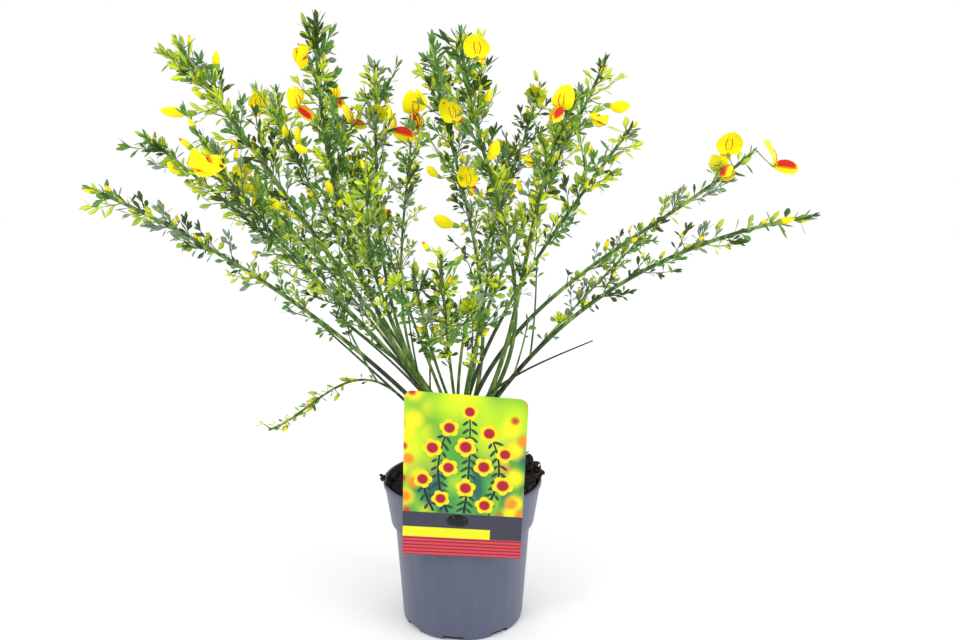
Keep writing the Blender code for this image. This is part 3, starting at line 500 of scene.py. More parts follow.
# Card
# The picture label that a nursery hangs on a pot: 0.8 mm polypropylene sheet, die cut with two
# round corners and a slot, offset printed and glossy. It leans out over the rim and has warped.
# Its picture is a plain design of round blooms on a lime and green ground, over three bands.
CARD_WIDTH = 117.6 * MM
CARD_HEIGHT = 174.8 * MM
CARD_THICKNESS = 0.8 * MM
CARD_CORNER = 8 * MM
CARD_MIDDLE = (9.7 * MM, 37.6 * MM)
CARD_TOUCH_HEIGHT = POT_HEIGHT - 4 * MM
CARD_TURN = math.radians(2.5)
CARD_LEAN = math.radians(7.8)
CARD_AROUND = math.radians(-4.3)
CARD_WARP = math.radians(-5.5)
CARD_CELLS = (12, 24)
CARD_GAP = 0.3 * MM
BAND_DARK = 48 * MM
BAND_YELLOW = (20.5 * MM, 31.5 * MM, 86.5 * MM)
BAND_RED = 20.5 * MM
INK_EDGE = 0.15 * MM
LINE_PITCH = 1.9 * MM
STUD_SHANK = (6 * MM, 4 * MM)
STUD_PLACE = (-4.8 * MM, -47.7 * MM)

card_place = (Matrix.Rotation(CARD_AROUND, 4, "Z")
              @ Matrix.Translation((0, -POT_RIM_RADIUS - CARD_GAP, CARD_TOUCH_HEIGHT))
              @ Matrix.Rotation(CARD_LEAN, 4, "X")
              @ Matrix.Translation((CARD_MIDDLE[0], 0, CARD_MIDDLE[1]))
              @ Matrix.Rotation(CARD_TURN, 4, "Y"))


def on_card(x, depth, z):
    """Where a point of the card's own plane hangs: the card winds a little over its height."""
    wind = CARD_WARP * z / CARD_HEIGHT
    return card_place @ Vector((x * math.cos(wind) - depth * math.sin(wind),
                                x * math.sin(wind) + depth * math.cos(wind), z))


def plates(outlines, front, back, hang=lambda *spot: spot):
    """One mesh of flat plates between two depths of the card's plane, from outlines of (x, z)."""
    verts = []
    faces = []
    for outline in outlines:
        first, count = len(verts), len(outline)
        verts += [hang(x, depth, z) for depth in (front, back) for x, z in outline]
        faces += [[first + k for k in range(count)], [first + count + k for k in range(count)][::-1]]
        faces += [[first + k, first + count + k, first + count + (k + 1) % count, first + (k + 1) % count]
                  for k in range(count)]
    return mesh_of(verts, faces)


card_outline = []
for side, top, start, radius in ((1, 1, 0, CARD_CORNER), (-1, 1, 90, CARD_CORNER),
                                 (-1, -1, 180, CARD_CORNER / 4), (1, -1, 270, CARD_CORNER / 4)):
    corner = (side * (CARD_WIDTH / 2 - radius), top * (CARD_HEIGHT / 2 - radius))
    card_outline += arc(corner, radius, start, start + 90, 8)
card = linked("card_blank", plates([card_outline], -CARD_THICKNESS, 0))
cut_out(card, (STUD_SHANK[0] + 2 * CARD_GAP, 8 * MM, STUD_SHANK[1] + 2 * CARD_GAP),
        (STUD_PLACE[0], 0, STUD_PLACE[1]))
work = opened(card.data)
bpy.data.objects.remove(card)
for size, cells, way in ((CARD_WIDTH, CARD_CELLS[0], Vector((1, 0, 0))), (CARD_HEIGHT, CARD_CELLS[1], UP)):
    for k in range(1, cells):
        bmesh.ops.bisect_plane(work, geom=work.verts[:] + work.edges[:] + work.faces[:],
                               plane_co=way * size * (k / cells - 0.5), plane_no=way)
card_mesh = closed(work)
print_map = card_mesh.uv_layers.new(name="print")
for loop in card_mesh.loops:
    spot = card_mesh.vertices[loop.vertex_index].co
    print_map.data[loop.index].uv = ((spot.x + CARD_WIDTH / 2) / CARD_WIDTH,
                                     (spot.z + CARD_HEIGHT / 2) / CARD_HEIGHT)
for vert in card_mesh.vertices:
    vert.co = on_card(*vert.co)

# Offset print on polypropylene, varnished: strong flat inks under an even gloss. The print map
# runs from the card's lower left corner, and is scaled here to metres
PRINT_GLOSS = {"IOR": 1.49, "Roughness": 0.35, "Specular IOR Level": 0.3, "Coat Weight": 0.12,
               "Coat Roughness": 0.12}
card_finish, tree, shader = new_finish("printed_card", PRINT_GLOSS)
print_place = add_node(tree, "ShaderNodeUVMap", uv_map="print")
metres = add_node(tree, "ShaderNodeVectorMath", {0: print_place.outputs[0], 1: (CARD_WIDTH, CARD_HEIGHT, 0)},
                  operation="MULTIPLY").outputs[0]
axes = add_node(tree, "ShaderNodeSeparateXYZ", {0: metres}).outputs

# Ground of the picture: lime and yellow light above, and soft green to teal towards the lower right
ground, _ = blotches(tree, metres, 46 * MM, ("#57A32E", "#93C926", "#BEE016", "#DDEE0C"), detail=0.8,
                     stretch=(1, 0.6, 1), spread=(0.34, 0.62))
leafy, _ = blotches(tree, metres, 26 * MM, ("#1C6152", "#3C8C46", "#64AA38", "#9CCB2E"), detail=1.2,
                    stretch=(1, 0.5, 1), spread=(0.36, 0.66))
slant = add_node(tree, "ShaderNodeVectorMath", {0: metres, 1: (0.35, -1.0, 0)}, operation="DOT_PRODUCT")
lower = add_node(tree, "ShaderNodeMapRange", {0: slant.outputs["Value"], 1: -112 * MM, 2: -66 * MM},
                 interpolation_type="SMOOTHSTEP")
coats = [(lower.outputs[0], leafy)]
# Blooms far out of focus towards both sides: soft round spots of yellow, orange and red
middle = add_node(tree, "ShaderNodeMath", {0: axes["X"], 1: CARD_WIDTH / 2}, operation="SUBTRACT")
aside = add_node(tree, "ShaderNodeMath", {0: middle.outputs[0]}, operation="ABSOLUTE")
sides = add_node(tree, "ShaderNodeMapRange",
                 {0: aside.outputs[0], 1: CARD_WIDTH * 0.20, 2: CARD_WIDTH * 0.42},
                 interpolation_type="SMOOTHSTEP")
for size, code, seed, limit in ((27 * MM, "#EEE208", 0.2, 0.50), (30 * MM, "#E38A12", 3.7, 0.30),
                                (33 * MM, "#C23A1C", 8.1, 0.18)):
    moved = add_node(tree, "ShaderNodeMapping", {"Vector": metres, "Location": (seed, seed / 2, 0)})
    cells = add_node(tree, "ShaderNodeTexVoronoi", {"Vector": moved.outputs[0], "Scale": 1 / size,
                                                    "Randomness": 0.9}, voronoi_dimensions="2D")
    soft = add_node(tree, "ShaderNodeMapRange", {0: cells.outputs["Distance"], 1: limit, 2: limit * 0.3},
                    interpolation_type="SMOOTHSTEP")
    spots = add_node(tree, "ShaderNodeMath", {0: soft.outputs[0], 1: sides.outputs[0]}, operation="MULTIPLY")
    coats.append((spots.outputs[0], code))
# Bands at the foot of the card, each between its edges: a dark one up to the picture, a yellow
# one on it that ends short of the right side, and a red one with fine lines at the bottom
masks = []
for edges in ((("Y", BAND_DARK, -1),),
              (("Y", BAND_YELLOW[0], 1), ("Y", BAND_YELLOW[1], -1), ("X", BAND_YELLOW[2], -1)),
              (("Y", BAND_RED, -1),)):
    mask = 1.0
    for axis, edge, sense in edges:
        over = add_node(tree, "ShaderNodeMapRange",
                        {0: axes[axis], 1: edge - sense * INK_EDGE, 2: edge + sense * INK_EDGE})
        both = add_node(tree, "ShaderNodeMath", {0: over.outputs[0], 1: mask}, operation="MULTIPLY")
        mask = both.outputs[0]
    masks.append(mask)
line = add_node(tree, "ShaderNodeMath", {0: axes["Y"], 1: LINE_PITCH}, operation="PINGPONG")
line = add_node(tree, "ShaderNodeMapRange", {0: line.outputs[0], 1: LINE_PITCH * 0.30, 2: LINE_PITCH * 0.46})
red_band = overlaid(tree, "#8A1632", [(line.outputs[0], "#D0404A")])
coats += zip(masks, ("#383948", "#E2E414", red_band))
set_inputs(shader, {"Base Color": overlaid(tree, ground, coats)})
add_piece("card_sheet", card_mesh, card_finish, ["card"], smooth=0)


# Card picture
# The sharp part of the picture: plain round blooms of five petals with a crimson eye, strung
# along four dark sprigs with slim leaves. It is ink, a few hundredths of a millimetre thick.
# Places are in millimetres from the card's lower left corner; a bloom's third number is its size.
SPRIGS = (((44, 49), (24, 96), (44, 140)), ((60, 49), (66, 98), (63, 158)), ((77, 50), (106, 92), (82, 137)),
          ((30, 50), (20, 70), (19, 84)))
BLOOMS_PRINTED = ((63, 158, 0.9), (44, 140, 1.0), (82, 137, 1.0), (28, 118, 1.05), (60, 121, 1.1),
                  (98, 116, 0.95), (44, 98, 1.0), (78, 101, 1.05), (19, 84, 1.0), (61, 77, 1.05),
                  (97, 82, 1.1), (37, 64, 0.95), (80, 59, 1.0))
BLOOM_RADIUS = 8.6 * MM
SPRIG_STEP = 8.0 * MM
SPRIG_WIDTH = 1.3
INK_THICKNESS = 0.05 * MM
INK_STEP = 0.04 * MM
MOTIF_SEED = 4


def bent(route, steps):
    """Points along the smooth curve that three route points span."""
    return [route[0] * (1 - t) ** 2 + route[1] * 2 * t * (1 - t) + route[2] * t * t
            for t in [n / steps for n in range(steps + 1)]]


def headed(angle):
    """A direction on the card's plane."""
    return Vector((math.cos(angle), math.sin(angle)))


def disc(centre, wide, tall, turn=0.0, steps=14):
    """Outline of an ellipse."""
    points = []
    for angle in turns(steps):
        x, z = wide * math.cos(angle), tall * math.sin(angle)
        points.append((centre[0] + x * math.cos(turn) - z * math.sin(turn),
                       centre[1] + x * math.sin(turn) + z * math.cos(turn)))
    return points


dice = random.Random(MOTIF_SEED)
ink_rows = {"sprigs": [], "leaves": [], "petals": [], "rings": [], "eyes": []}
for spots in SPRIGS:
    route = [Vector(spot) * MM for spot in spots]
    count = round((route[2] - route[0]).length / SPRIG_STEP)
    line = bent(route, count)
    sides = []
    for k, spot in enumerate(line):
        ahead = (line[min(k + 1, count)] - line[max(k - 1, 0)]).normalized()
        sides.append((spot, Vector((-ahead.y, ahead.x)) * (SPRIG_WIDTH - 0.05 * k) * MM))
    for (low, side), (high, next_side) in zip(sides, sides[1:]):
        ink_rows["sprigs"].append([low - side, low + side, high + next_side, high - next_side])
    for spot, side in sides[1:count]:
        for lean in (math.pi - 0.7, 0.7):
            turn = math.atan2(side.y, side.x) + lean
            middle = spot + headed(turn) * 5.5 * MM
            ink_rows["leaves"].append(disc(middle, dice.uniform(3.2, 5.5) * MM, 1.5 * MM, turn, 10))
for x, z, size in BLOOMS_PRINTED:
    centre = Vector((x, z)) * MM
    size *= BLOOM_RADIUS
    spin = dice.uniform(0, 1)
    for angle in turns(5):
        turn = spin + angle
        ink_rows["petals"].append(disc(centre + headed(turn) * size * 0.52, size * 0.62, size * 0.54, turn))
    ink_rows["rings"].append(disc(centre, size * 0.66, size * 0.66))
    ink_rows["eyes"].append(disc(centre, size * 0.55, size * 0.55))
# Printing inks under the card's varnish, one over the other, with the fine grain of the screen
for layer, (name, code) in enumerate({"sprigs": "#101C24", "leaves": "#15473A", "petals": "#F4E406",
                                      "rings": "#E2780C", "eyes": "#AC0E2E"}.items()):
    ink_finish, tree, shader = new_finish(f"ink_{name}", PRINT_GLOSS)
    place = add_node(tree, "ShaderNodeTexCoord").outputs["Object"]
    grain = add_node(tree, "ShaderNodeTexNoise", {"Vector": place, "Scale": 1 / (6 * MM)})
    shade = [c * 0.78 for c in linear(code)[:3]] + [1]
    set_inputs(shader, {"Base Color": overlaid(tree, shade, [(grain.outputs["Fac"], code)])})
    outlines = [[(x - CARD_WIDTH / 2, z - CARD_HEIGHT / 2) for x, z in outline] for outline in ink_rows[name]]
    depth = -CARD_THICKNESS - layer * INK_STEP
    ink_mesh = plates(outlines, depth - INK_THICKNESS, depth + INK_STEP / 2, on_card)
    add_piece(f"print_{name}", ink_mesh, ink_finish, smooth=0)


# Stud
# The push-in stud that pins the card to the collar: black polypropylene, a low domed head on a
# square shank, as glossy as the polished mould it came from. Its profile: share of the head's
# half width and half height, and depth as a share of its thickness.
STUD_HEAD = (21 * MM, 3.5 * MM, 13 * MM)
STUD_ROUND = 40
STUD_SINK = 0.5 * MM
head_back = -CARD_THICKNESS - CARD_GAP
stud_dome = [(0.47 * math.cos(a), -0.36 - 0.64 * math.sin(a)) for a in (0.12, 0.4, 0.7, 1.0, 1.3)]
stud_profile = [(0, 0), (0.42, 0), (0.50, -0.12), (0.49, -0.30), *stud_dome, (0, -1)]
stud_mesh = solid_of([[(STUD_PLACE[0] + x * STUD_HEAD[0], head_back + depth * STUD_HEAD[1],
                        STUD_PLACE[1] + z * STUD_HEAD[2]) for x, z, depth in level_ring(*share, STUD_ROUND)]
                      for share in stud_profile])
pinned = card_place @ Vector((STUD_PLACE[0], 0, STUD_PLACE[1]))
collar_radius = POT_COLLAR_FOOT_RADIUS + collar_flare * (pinned.z - pot_collar_z)
shank_end = math.hypot(pinned.x, pinned.y) - collar_radius - 2 * CARD_GAP
work = opened(stud_mesh)
add_block(work, (STUD_SHANK[0], shank_end - head_back + STUD_SINK, STUD_SHANK[1]),
          (STUD_PLACE[0], (shank_end + head_back - STUD_SINK) / 2, STUD_PLACE[1]))
stud_mesh = closed(work)
stud_mesh.transform(card_place)
# Polypropylene from a polished mould: a clear small highlight on near black
stud_finish, tree, shader = new_finish("stud_polypropylene", {"IOR": 1.49, "Specular IOR Level": 0.3})
place = add_node(tree, "ShaderNodeTexCoord").outputs["Object"]
grain = add_node(tree, "ShaderNodeTexNoise", {"Vector": place, "Scale": 1 / (3 * MM), "Detail": 3.0})
shine = add_node(tree, "ShaderNodeMapRange", {0: grain.outputs["Fac"], 3: 0.08, 4: 0.18})
set_inputs(shader, {"Roughness": shine.outputs[0],
                    "Base Color": overlaid(tree, "#07080B", [(grain.outputs["Fac"], "#111318")])})
add_piece("stud_moulded", stud_mesh, stud_finish, ["stud"], smooth=50)


# Trunk
# The short woody stem that all shoots spring from, old brown bark on hard yellow wood. It is
# flared at the soil, and its bark is split into long scales.
TRUNK_FOOT_RADIUS = 11.5 * MM
TRUNK_TOP_RADIUS = 9.0 * MM
TRUNK_FLARE = 6.5 * MM
TRUNK_FLARE_DEPTH = 9 * MM
TRUNK_HEIGHT = 66 * MM
TRUNK_CROWN = 6 * MM
TRUNK_SINK = 4 * MM
TRUNK_LEAN = 1.5 * MM
TRUNK_ROUND = 96
TRUNK_RINGS = 110
BARK_SCALE = (2.6 * MM, 14 * MM)
BARK_DEPTH = 0.7 * MM


def bark_split(spot):
    """How far the bark sinks at a point: long fissures between raised scales."""
    wound = Vector((spot.x / BARK_SCALE[0], spot.y / BARK_SCALE[0], spot.z / BARK_SCALE[1]))
    return abs(noise.noise(wound)) + 0.4 * abs(noise.noise(wound * 2.7))


trunk_rings = [[(0, 0, SOIL_LEVEL - TRUNK_SINK)]]
for ring in range(TRUNK_RINGS + 1):
    height = (TRUNK_HEIGHT + TRUNK_SINK) * ring / TRUNK_RINGS - TRUNK_SINK
    above = max(height, 0.0)
    crown = max(0.0, height - (TRUNK_HEIGHT - TRUNK_CROWN)) / TRUNK_CROWN
    flare = math.exp(-above / TRUNK_FLARE_DEPTH)
    lean = TRUNK_LEAN * math.sin(above / TRUNK_HEIGHT * math.pi)
    straight = TRUNK_FOOT_RADIUS + (TRUNK_TOP_RADIUS - TRUNK_FOOT_RADIUS) * above / TRUNK_HEIGHT
    trunk_radius = straight + TRUNK_FLARE * math.exp(-above / TRUNK_FLARE_DEPTH * 1.6)
    trunk_rings.append([])
    for angle in turns(TRUNK_ROUND):
        radius = trunk_radius * (1 + 0.16 * flare * math.cos(3 * angle + 0.7))
        radius *= math.sqrt(max(0.0, 1 - 0.92 * crown ** 2))
        way = Vector((math.cos(angle), math.sin(angle), 0))
        radius += (0.3 - bark_split(way * radius + UP * height)) * BARK_DEPTH * 2
        trunk_rings[-1].append(way * radius + Vector((lean, 0, SOIL_LEVEL + height)))
trunk_rings.append([(0, 0, SOIL_LEVEL + TRUNK_HEIGHT)])
# Old broom bark: grey-brown and dull, darker and redder down in its splits
wood_finish = mottled("old_bark", {"IOR": 1.45, "Roughness": 0.85, "Specular IOR Level": 0.3}, 3 * MM,
                      ("#2E241C", "#5B4A38", "#857159"), 0.5 * MM, detail=5, stretch=(1, 1, 0.25),
                      spread=(0.32, 0.68))
add_piece("trunk_bark", solid_of(trunk_rings), wood_finish, ["trunk"], smooth=70)


# Stems
# Wand-like shoots that leave the trunk in a fan. They are green and five-ribbed, dark grey-green
# where they are old, and each one tapers from its foot to its tip in one long curve.
# Each row: height of the foot on the trunk, thickness there, and the route on to the tip (mm).
STEMS = {
    "far_left": (184, 4.6, ((-179, -35, 360), (-372, -28, 467))),
    "left_second": (207, 4.4, ((-90, 30, 296), (-350, 67, 522))),
    "left_third": (167, 3.4, ((-86, -45, 319), (-169, -80, 418), (-226, -119, 517))),
    "left_fourth": (186, 3.4, ((-122, 76, 334), (-276, 158, 480))),
    "main_left": (199, 5.2, ((-117, -58, 388), (-262, -64, 602))),
    "left_mid": (197, 3.2, ((-123, 36, 389), (-228, 147, 573))),
    "tall_left": (187, 5.4, ((-117, 0, 418), (-137, -23, 633))),
    "tall_second": (173, 3.6, ((-116, 94, 411), (-155, 184, 563))),
    "forked": (199, 3.8, ((-75, 34, 332), (-92, 51, 464), (-98, 116, 603))),
    "centre_left": (208, 3.2, ((-84, -59, 394), (-80, -100, 491))),
    "centre_back": (200, 3.4, ((-67, 89, 299), (-73, 151, 420), (-68, 251, 555))),
    "high_mid": (199, 4.2, ((20, 22, 354), (-5, 27, 484), (-34, 68, 613))),
    "high_right": (205, 4.4, ((54, -19, 368), (23, -37, 496), (1, -66, 613))),
    "right_back": (171, 3.4, ((4, 51, 316), (45, 112, 447), (92, 165, 585))),
    "right_front": (194, 5.2, ((54, -24, 339), (77, -34, 454), (111, -69, 556))),
    "right_tall": (198, 4.4, ((29, 38, 338), (93, 57, 474), (156, 72, 604))),
    "right_second": (209, 4.0, ((45, -45, 346), (102, -68, 442), (152, -128, 523))),
    "right_upper": (207, 4.8, ((86, 15, 340), (200, 30, 423), (316, 54, 505))),
    "right_lower": (185, 4.8, ((151, -14, 360), (352, -41, 439))),
    "right_middle": (203, 3.2, ((91, 63, 292), (215, 109, 414))),
    "droopy": (178, 3.0, ((-68, -14, 252), (-97, -29, 270), (-152, -64, 251), (-190, -92, 237))),
    "front_left": (205, 3.2, ((-25, -76, 303), (-38, -168, 407))),
    "front_mid": (180, 3.4, ((-10, -81, 303), (-13, -190, 419))),
    "front_right": (187, 3.2, ((11, -70, 292), (29, -171, 407))),
    "back_left": (189, 3.6, ((-58, 103, 304), (-145, 239, 505))),
    "back_right": (201, 3.6, ((22, 97, 319), (51, 241, 517))),
}
CUT_SHOOTS = {
    "cut_right": (201, 3.0, ((39, -30, 264), (87, -44, 295), (129, -58, 317))),
    "cut_left": (178, 3.2, ((-99, 15, 271), (-198, 53, 348))),
    "cut_dark": (186, 3.4, ((-42, -37, 261), (-129, -46, 343))),
}
WEATHERED = ("far_left", "left_second", "left_third", "left_fourth", "droopy", "right_upper", "right_lower",
             "right_middle", "right_second", "cut_right", "cut_left", "cut_dark")
BARE_SHARE = 0.40
BARE_LENGTH = (75 * MM, 150 * MM)
TIP_SHARE = 0.36
YOUNG_TIP_SHARE = 0.80
STEM_FULL = 1.22
PATH_STEPS = 96
RIB_POINTS = 10
RIB_DEPTH = 0.20
SINK = 5 * MM
STEM_SHORT = 8 * MM
# The swollen foot of each bough: how much thicker it is, and how soon that dies away
COLLAR = (0.45, 7 * MM)


def length_of(points):
    """Length of a path."""
    return sum((b - a).length for a, b in zip(points, points[1:]))


def stem_path(foot, route):
    """Points along a stem: one smooth curve from the trunk's axis through its route."""
    marks = [Vector((0, 0, foot * MM)), *[Vector(spot) * MM for spot in route]]
    when = [0.0]
    for before, after in zip(marks, marks[1:]):
        when.append(when[-1] + (after - before).length)
    points = []
    for step in range(PATH_STEPS + 1):
        at = when[-1] * step / PATH_STEPS
        point = Vector((0, 0, 0))
        for mark, own in zip(marks, when):
            weight = 1.0
            for other in when:
                if other != own:
                    weight *= (at - other) / (own - other)
            point += mark * weight
        points.append(point)
    return points


def spot_on(points, share):
    """Point and direction at a share of the way along a path."""
    at = min(max(share, 0.0), 1.0) * (len(points) - 1)
    low = min(int(at), len(points) - 2)
    return points[low].lerp(points[low + 1], at - low), (points[low + 1] - points[low]).normalized()


def mass_start(points):
    """Index of the path point where the bare bough ends and the leafy stretch begins."""
    length = length_of(points)
    return round(PATH_STEPS * min(max(length * BARE_SHARE, BARE_LENGTH[0]), BARE_LENGTH[1]) / length)


def stem_radius(thickness, share):
    """Radius of a stem over its ribs at a share of its length."""
    return STEM_FULL * thickness * MM / 2 * (1 - (1 - TIP_SHARE) * share)


def young_radius(thickness, share, first):
    """Radius of the leafy stretch, which keeps its thickness longer than the bough below it."""
    grown_share = (share * PATH_STEPS - first) / (PATH_STEPS - first)
    return stem_radius(thickness, first / PATH_STEPS) * (1 - (1 - YOUNG_TIP_SHARE) * grown_share)


# Sweeps a ribbed round section along each path of a wire mesh, as thick as its points say
sweep, given = new_tree("sweep_limbs", {"Corners": "Int", "Rib depth": "Float", "Finish": "Material"})
thick = add_node(sweep, "GeometryNodeInputNamedAttribute", {"Name": "thick"}, data_type="FLOAT")
routes = add_node(sweep, "GeometryNodeMeshToCurve", {"Mesh": given["Geometry"]})
ring = add_node(sweep, "GeometryNodeCurvePrimitiveCircle", {"Resolution": given["Corners"], "Radius": 1.0})
index = add_node(sweep, "GeometryNodeInputIndex")
odd = add_node(sweep, "ShaderNodeMath", {0: index.outputs[0], 1: 2.0}, operation="MODULO")
sunk = add_node(sweep, "ShaderNodeMath", {0: odd.outputs[0], 1: given["Rib depth"]}, operation="MULTIPLY")
left = add_node(sweep, "ShaderNodeMath", {0: 1.0, 1: sunk.outputs[0]}, operation="SUBTRACT")
rim = add_node(sweep, "GeometryNodeInputPosition")
ribbed = add_node(sweep, "ShaderNodeVectorMath", {0: rim.outputs[0], "Scale": left.outputs[0]},
                  operation="SCALE")
star = add_node(sweep, "GeometryNodeSetPosition",
                {"Geometry": ring.outputs[0], "Position": ribbed.outputs[0]})
swept = add_node(sweep, "GeometryNodeCurveToMesh",
                 {"Curve": routes.outputs[0], "Profile Curve": star.outputs[0],
                  "Scale": thick.outputs[0], "Fill Caps": True})
end_tree(sweep, swept.outputs[0], given["Finish"])


def limbs(rows, finish, corners=5, ribs=0.0):
    """One mesh of limbs swept along these rows of (point, radius)."""
    edges = []
    start = 0
    for row in rows:
        edges += [(k, k + 1) for k in range(start, start + len(row) - 1)]
        start += len(row)
    mesh = bpy.data.meshes.new("wires")
    mesh.from_pydata([tuple(point) for row in rows for point, _ in row], edges, [])
    radii = [radius for row in rows for _, radius in row]
    mesh.attributes.new("thick", "FLOAT", "POINT").data.foreach_set("value", radii)
    return grown(sweep, mesh, {"Corners": corners, "Rib depth": ribs, "Finish": finish})


LIMBS = {**STEMS, **CUT_SHOOTS}
PATHS = {name: stem_path(foot, route) for name, (foot, _, route) in LIMBS.items()}
bough_rows = {name: [] for name in LIMBS}
stem_rows = []
for name, (_, thickness, _) in LIMBS.items():
    points = PATHS[name]
    first = PATH_STEPS if name in CUT_SHOOTS else mass_start(points)
    walk = 0.0
    row = bough_rows[name]
    for k in range(2 * first + 1):
        point, _ = spot_on(points, k / 2 / PATH_STEPS)
        if row:
            walk += (point - row[-1][0]).length
        if point.to_2d().length > SINK or row:
            swell = 1 + COLLAR[0] * math.exp(-walk / COLLAR[1])
            row.append((point, stem_radius(thickness, k / 2 / PATH_STEPS) * swell))
    if name in STEMS:
        last = PATH_STEPS - round(PATH_STEPS * STEM_SHORT / length_of(points))
        stem_rows.append([(spot_on(points, k / PATH_STEPS)[0], young_radius(thickness, k / PATH_STEPS, first))
                          for k in range(first, last + 1)])

# Older broom bark: olive green, going dark grey on the outer shoots, with corky lines
for age, codes in (("weathered", ("#20281C", "#36422C", "#515E40")),
                   ("green", ("#3A5222", "#557430", "#98AC4C"))):
    bough_finish = mottled(f"older_bark_{age}", {"IOR": 1.45, "Roughness": 0.6, "Specular IOR Level": 0.3},
                           4 * MM, codes, 0.2 * MM, detail=4, stretch=(1, 1, 0.2), spread=(0.30, 0.72))
    names = [name for name in LIMBS if (name in WEATHERED) == (age == "weathered")]
    boughs = limbs([bough_rows[name] for name in names], bough_finish, RIB_POINTS, RIB_DEPTH)
    add_piece(f"boughs_{age}", boughs, bough_finish, [f"bough_{name}" for name in names],
              smooth=50)
# Young broom bark: smooth, waxy leaf green, with pale streaks along the stem that are painted highlights for
# the lit ribs
stem_finish = mottled("young_green_bark", {"IOR": 1.45, "Roughness": 0.5, "Specular IOR Level": 0.3}, 6 * MM,
                      ("#34491F", "#4E6D33", "#88A84C"), 0.1 * MM, detail=3, stretch=(1, 1, 0.3))
add_piece("stems_ribbed", limbs(stem_rows, stem_finish, RIB_POINTS, RIB_DEPTH), stem_finish,
          [f"mass_{name}" for name in STEMS], smooth=50)


# Twigs and leaves
# Side twigs stand at nodes that turn up each stem. Leaves sit in tufts of three to five on the
# stem, on short spurs and along the twigs, and leafy shoots a few centimetres long stand between:
# small narrow spoons, dull green below and fresher towards the tips, where the topmost stand upright.
STEM_SEED = 500
NODE_STEP = 28 * MM
NODE_TURN = 137.5
TWIG_EVERY = 4
TWIG_LENGTH = (38 * MM, 62 * MM)
TWIG_RADIUS = 0.8 * MM
TWIG_PITCH = 36.0
TWIGS_END = 0.93
# A twig that has no room is tried again at these shares of its length
TWIG_PARTS = (1.0, 0.7, 0.45)
SPACE_MARGIN = 0.9 * MM
LIMB_MARGIN = 1.2 * MM
LEAF_SLACK = 8 * MM
SLACK_POINTS = 3
RIM_CLEAR_RADIUS = 112 * MM
RIM_CLEAR_HEIGHT = 286 * MM
SPUR_LENGTH = (9 * MM, 17 * MM)
SPUR_RADIUS = 0.45 * MM
SPUR_PITCH = 44.0
TUFT_LEAVES = (3, 5)
LEAF_STEP = 5.6 * MM
SHOOT_EVERY = 2
SHOOT_LENGTH = (15 * MM, 34 * MM)
LEAF_RISE = 0.64
# Leaves are this small at the foot of a stem, and grow by the second number towards its tip
LEAF_GROWTH = (0.42, 0.68)
BLADES_ABOVE = (0.65, 1.0)
TIP_TUFTS = (26, 19, 13)
TOP_CLEAR = 17 * MM
# Tufts by where they stand: the length of their leaves, and how far these lean out (degrees)
TUFTS = {"spur": ((11 * MM, 19 * MM), (18, 60)), "stem": ((12 * MM, 19 * MM), (12, 56)),
         "twig": ((10 * MM, 16 * MM), (12, 55)), "twig_tip": ((9 * MM, 16 * MM), (8, 34)),
         "tip": ((9 * MM, 13 * MM), (8, 38))}
# Leaf outlines as (share of the length, half width), and how wide each kind is for its length
LEAF_OUTLINES = {
    "spoon": ((0, 0.05), (0.26, 0.09), (0.66, 0.50), (0.90, 0.30), (1, 0)),
    "blade": ((0, 0.06), (0.22, 0.17), (0.60, 0.50), (0.86, 0.30), (1, 0)),
}
LEAF_WIDTH = {"spoon": 0.36, "blade": 0.26}
LEAF_FOLD = 0.22
LEAF_ARCH = 0.16
LEAF_THICKNESS = 0.035
# Stems that differ from the common habit: size of their leaves, how closely these stand, and
# how much limier or deeper they are. A stem with smaller leaves than a twiggy one has no twigs
COMMON_HABIT = (1.0, 1.0, 0.0)
TWIGGY = 0.6
HABIT = {"droopy": (0.55, 1.2, 0.1), "far_left": (1.0, 0.8, 0.0), "left_second": (1.0, 0.9, 0.0),
         "right_upper": (0.95, 0.55, -0.1), "right_lower": (0.95, 0.6, -0.1),
         "right_middle": (0.9, 0.6, -0.1), "right_second": (1.0, 0.8, 0.0), "main_left": (1.05, 1.2, 0.0),
         "right_tall": (1.0, 0.85, 0.0),
         **dict.fromkeys(("front_left", "front_mid", "front_right"), (0.95, 0.95, 0.05)),
         **dict.fromkeys(("left_mid", "left_third", "tall_left", "tall_second", "forked", "high_mid",
                          "high_right"), (1.05, 1.3, 0.0))}
# Long leafy side shoots that show in the crown: stem, share along it, direction in the front view
# and lean to the front (degrees), length (mm), tint of the leaves
SIDE_SHOOTS = (
    ("left_mid", 0.83, 118, 15, 62, "fresh"), ("left_mid", 0.86, 100, 0, 40, "mid"),
    ("left_third", 0.93, 118, 10, 42, "mid"), ("tall_second", 0.86, 58, 0, 74, "fresh"),
    ("tall_second", 0.88, 104, 10, 52, "mid"), ("high_mid", 0.62, 122, 25, 66, "fresh"),
    ("high_mid", 0.76, 99, 15, 90, "mid"), ("high_right", 0.78, 84, 20, 50, "lime"),
    ("right_front", 0.80, 112, 20, 45, "mid"), ("right_second", 0.78, 100, 20, 42, "fresh"),
    ("forked", 0.84, 62, 10, 50, "mid"), ("centre_back", 0.76, 70, 20, 45, "lime"),
    ("main_left", 0.70, 96, 20, 50, "deep"), ("left_fourth", 0.84, 92, 20, 42, "fresh"),
    ("tall_left", 0.72, 76, 25, 48, "mid"), ("front_right", 0.74, 206, 20, 44, "mid"),
    ("front_right", 0.66, 188, 30, 36, "fresh"), ("front_right", 0.80, 222, 35, 36, "mid"),
)
SIDE_SHOOT_STEP = 7.0
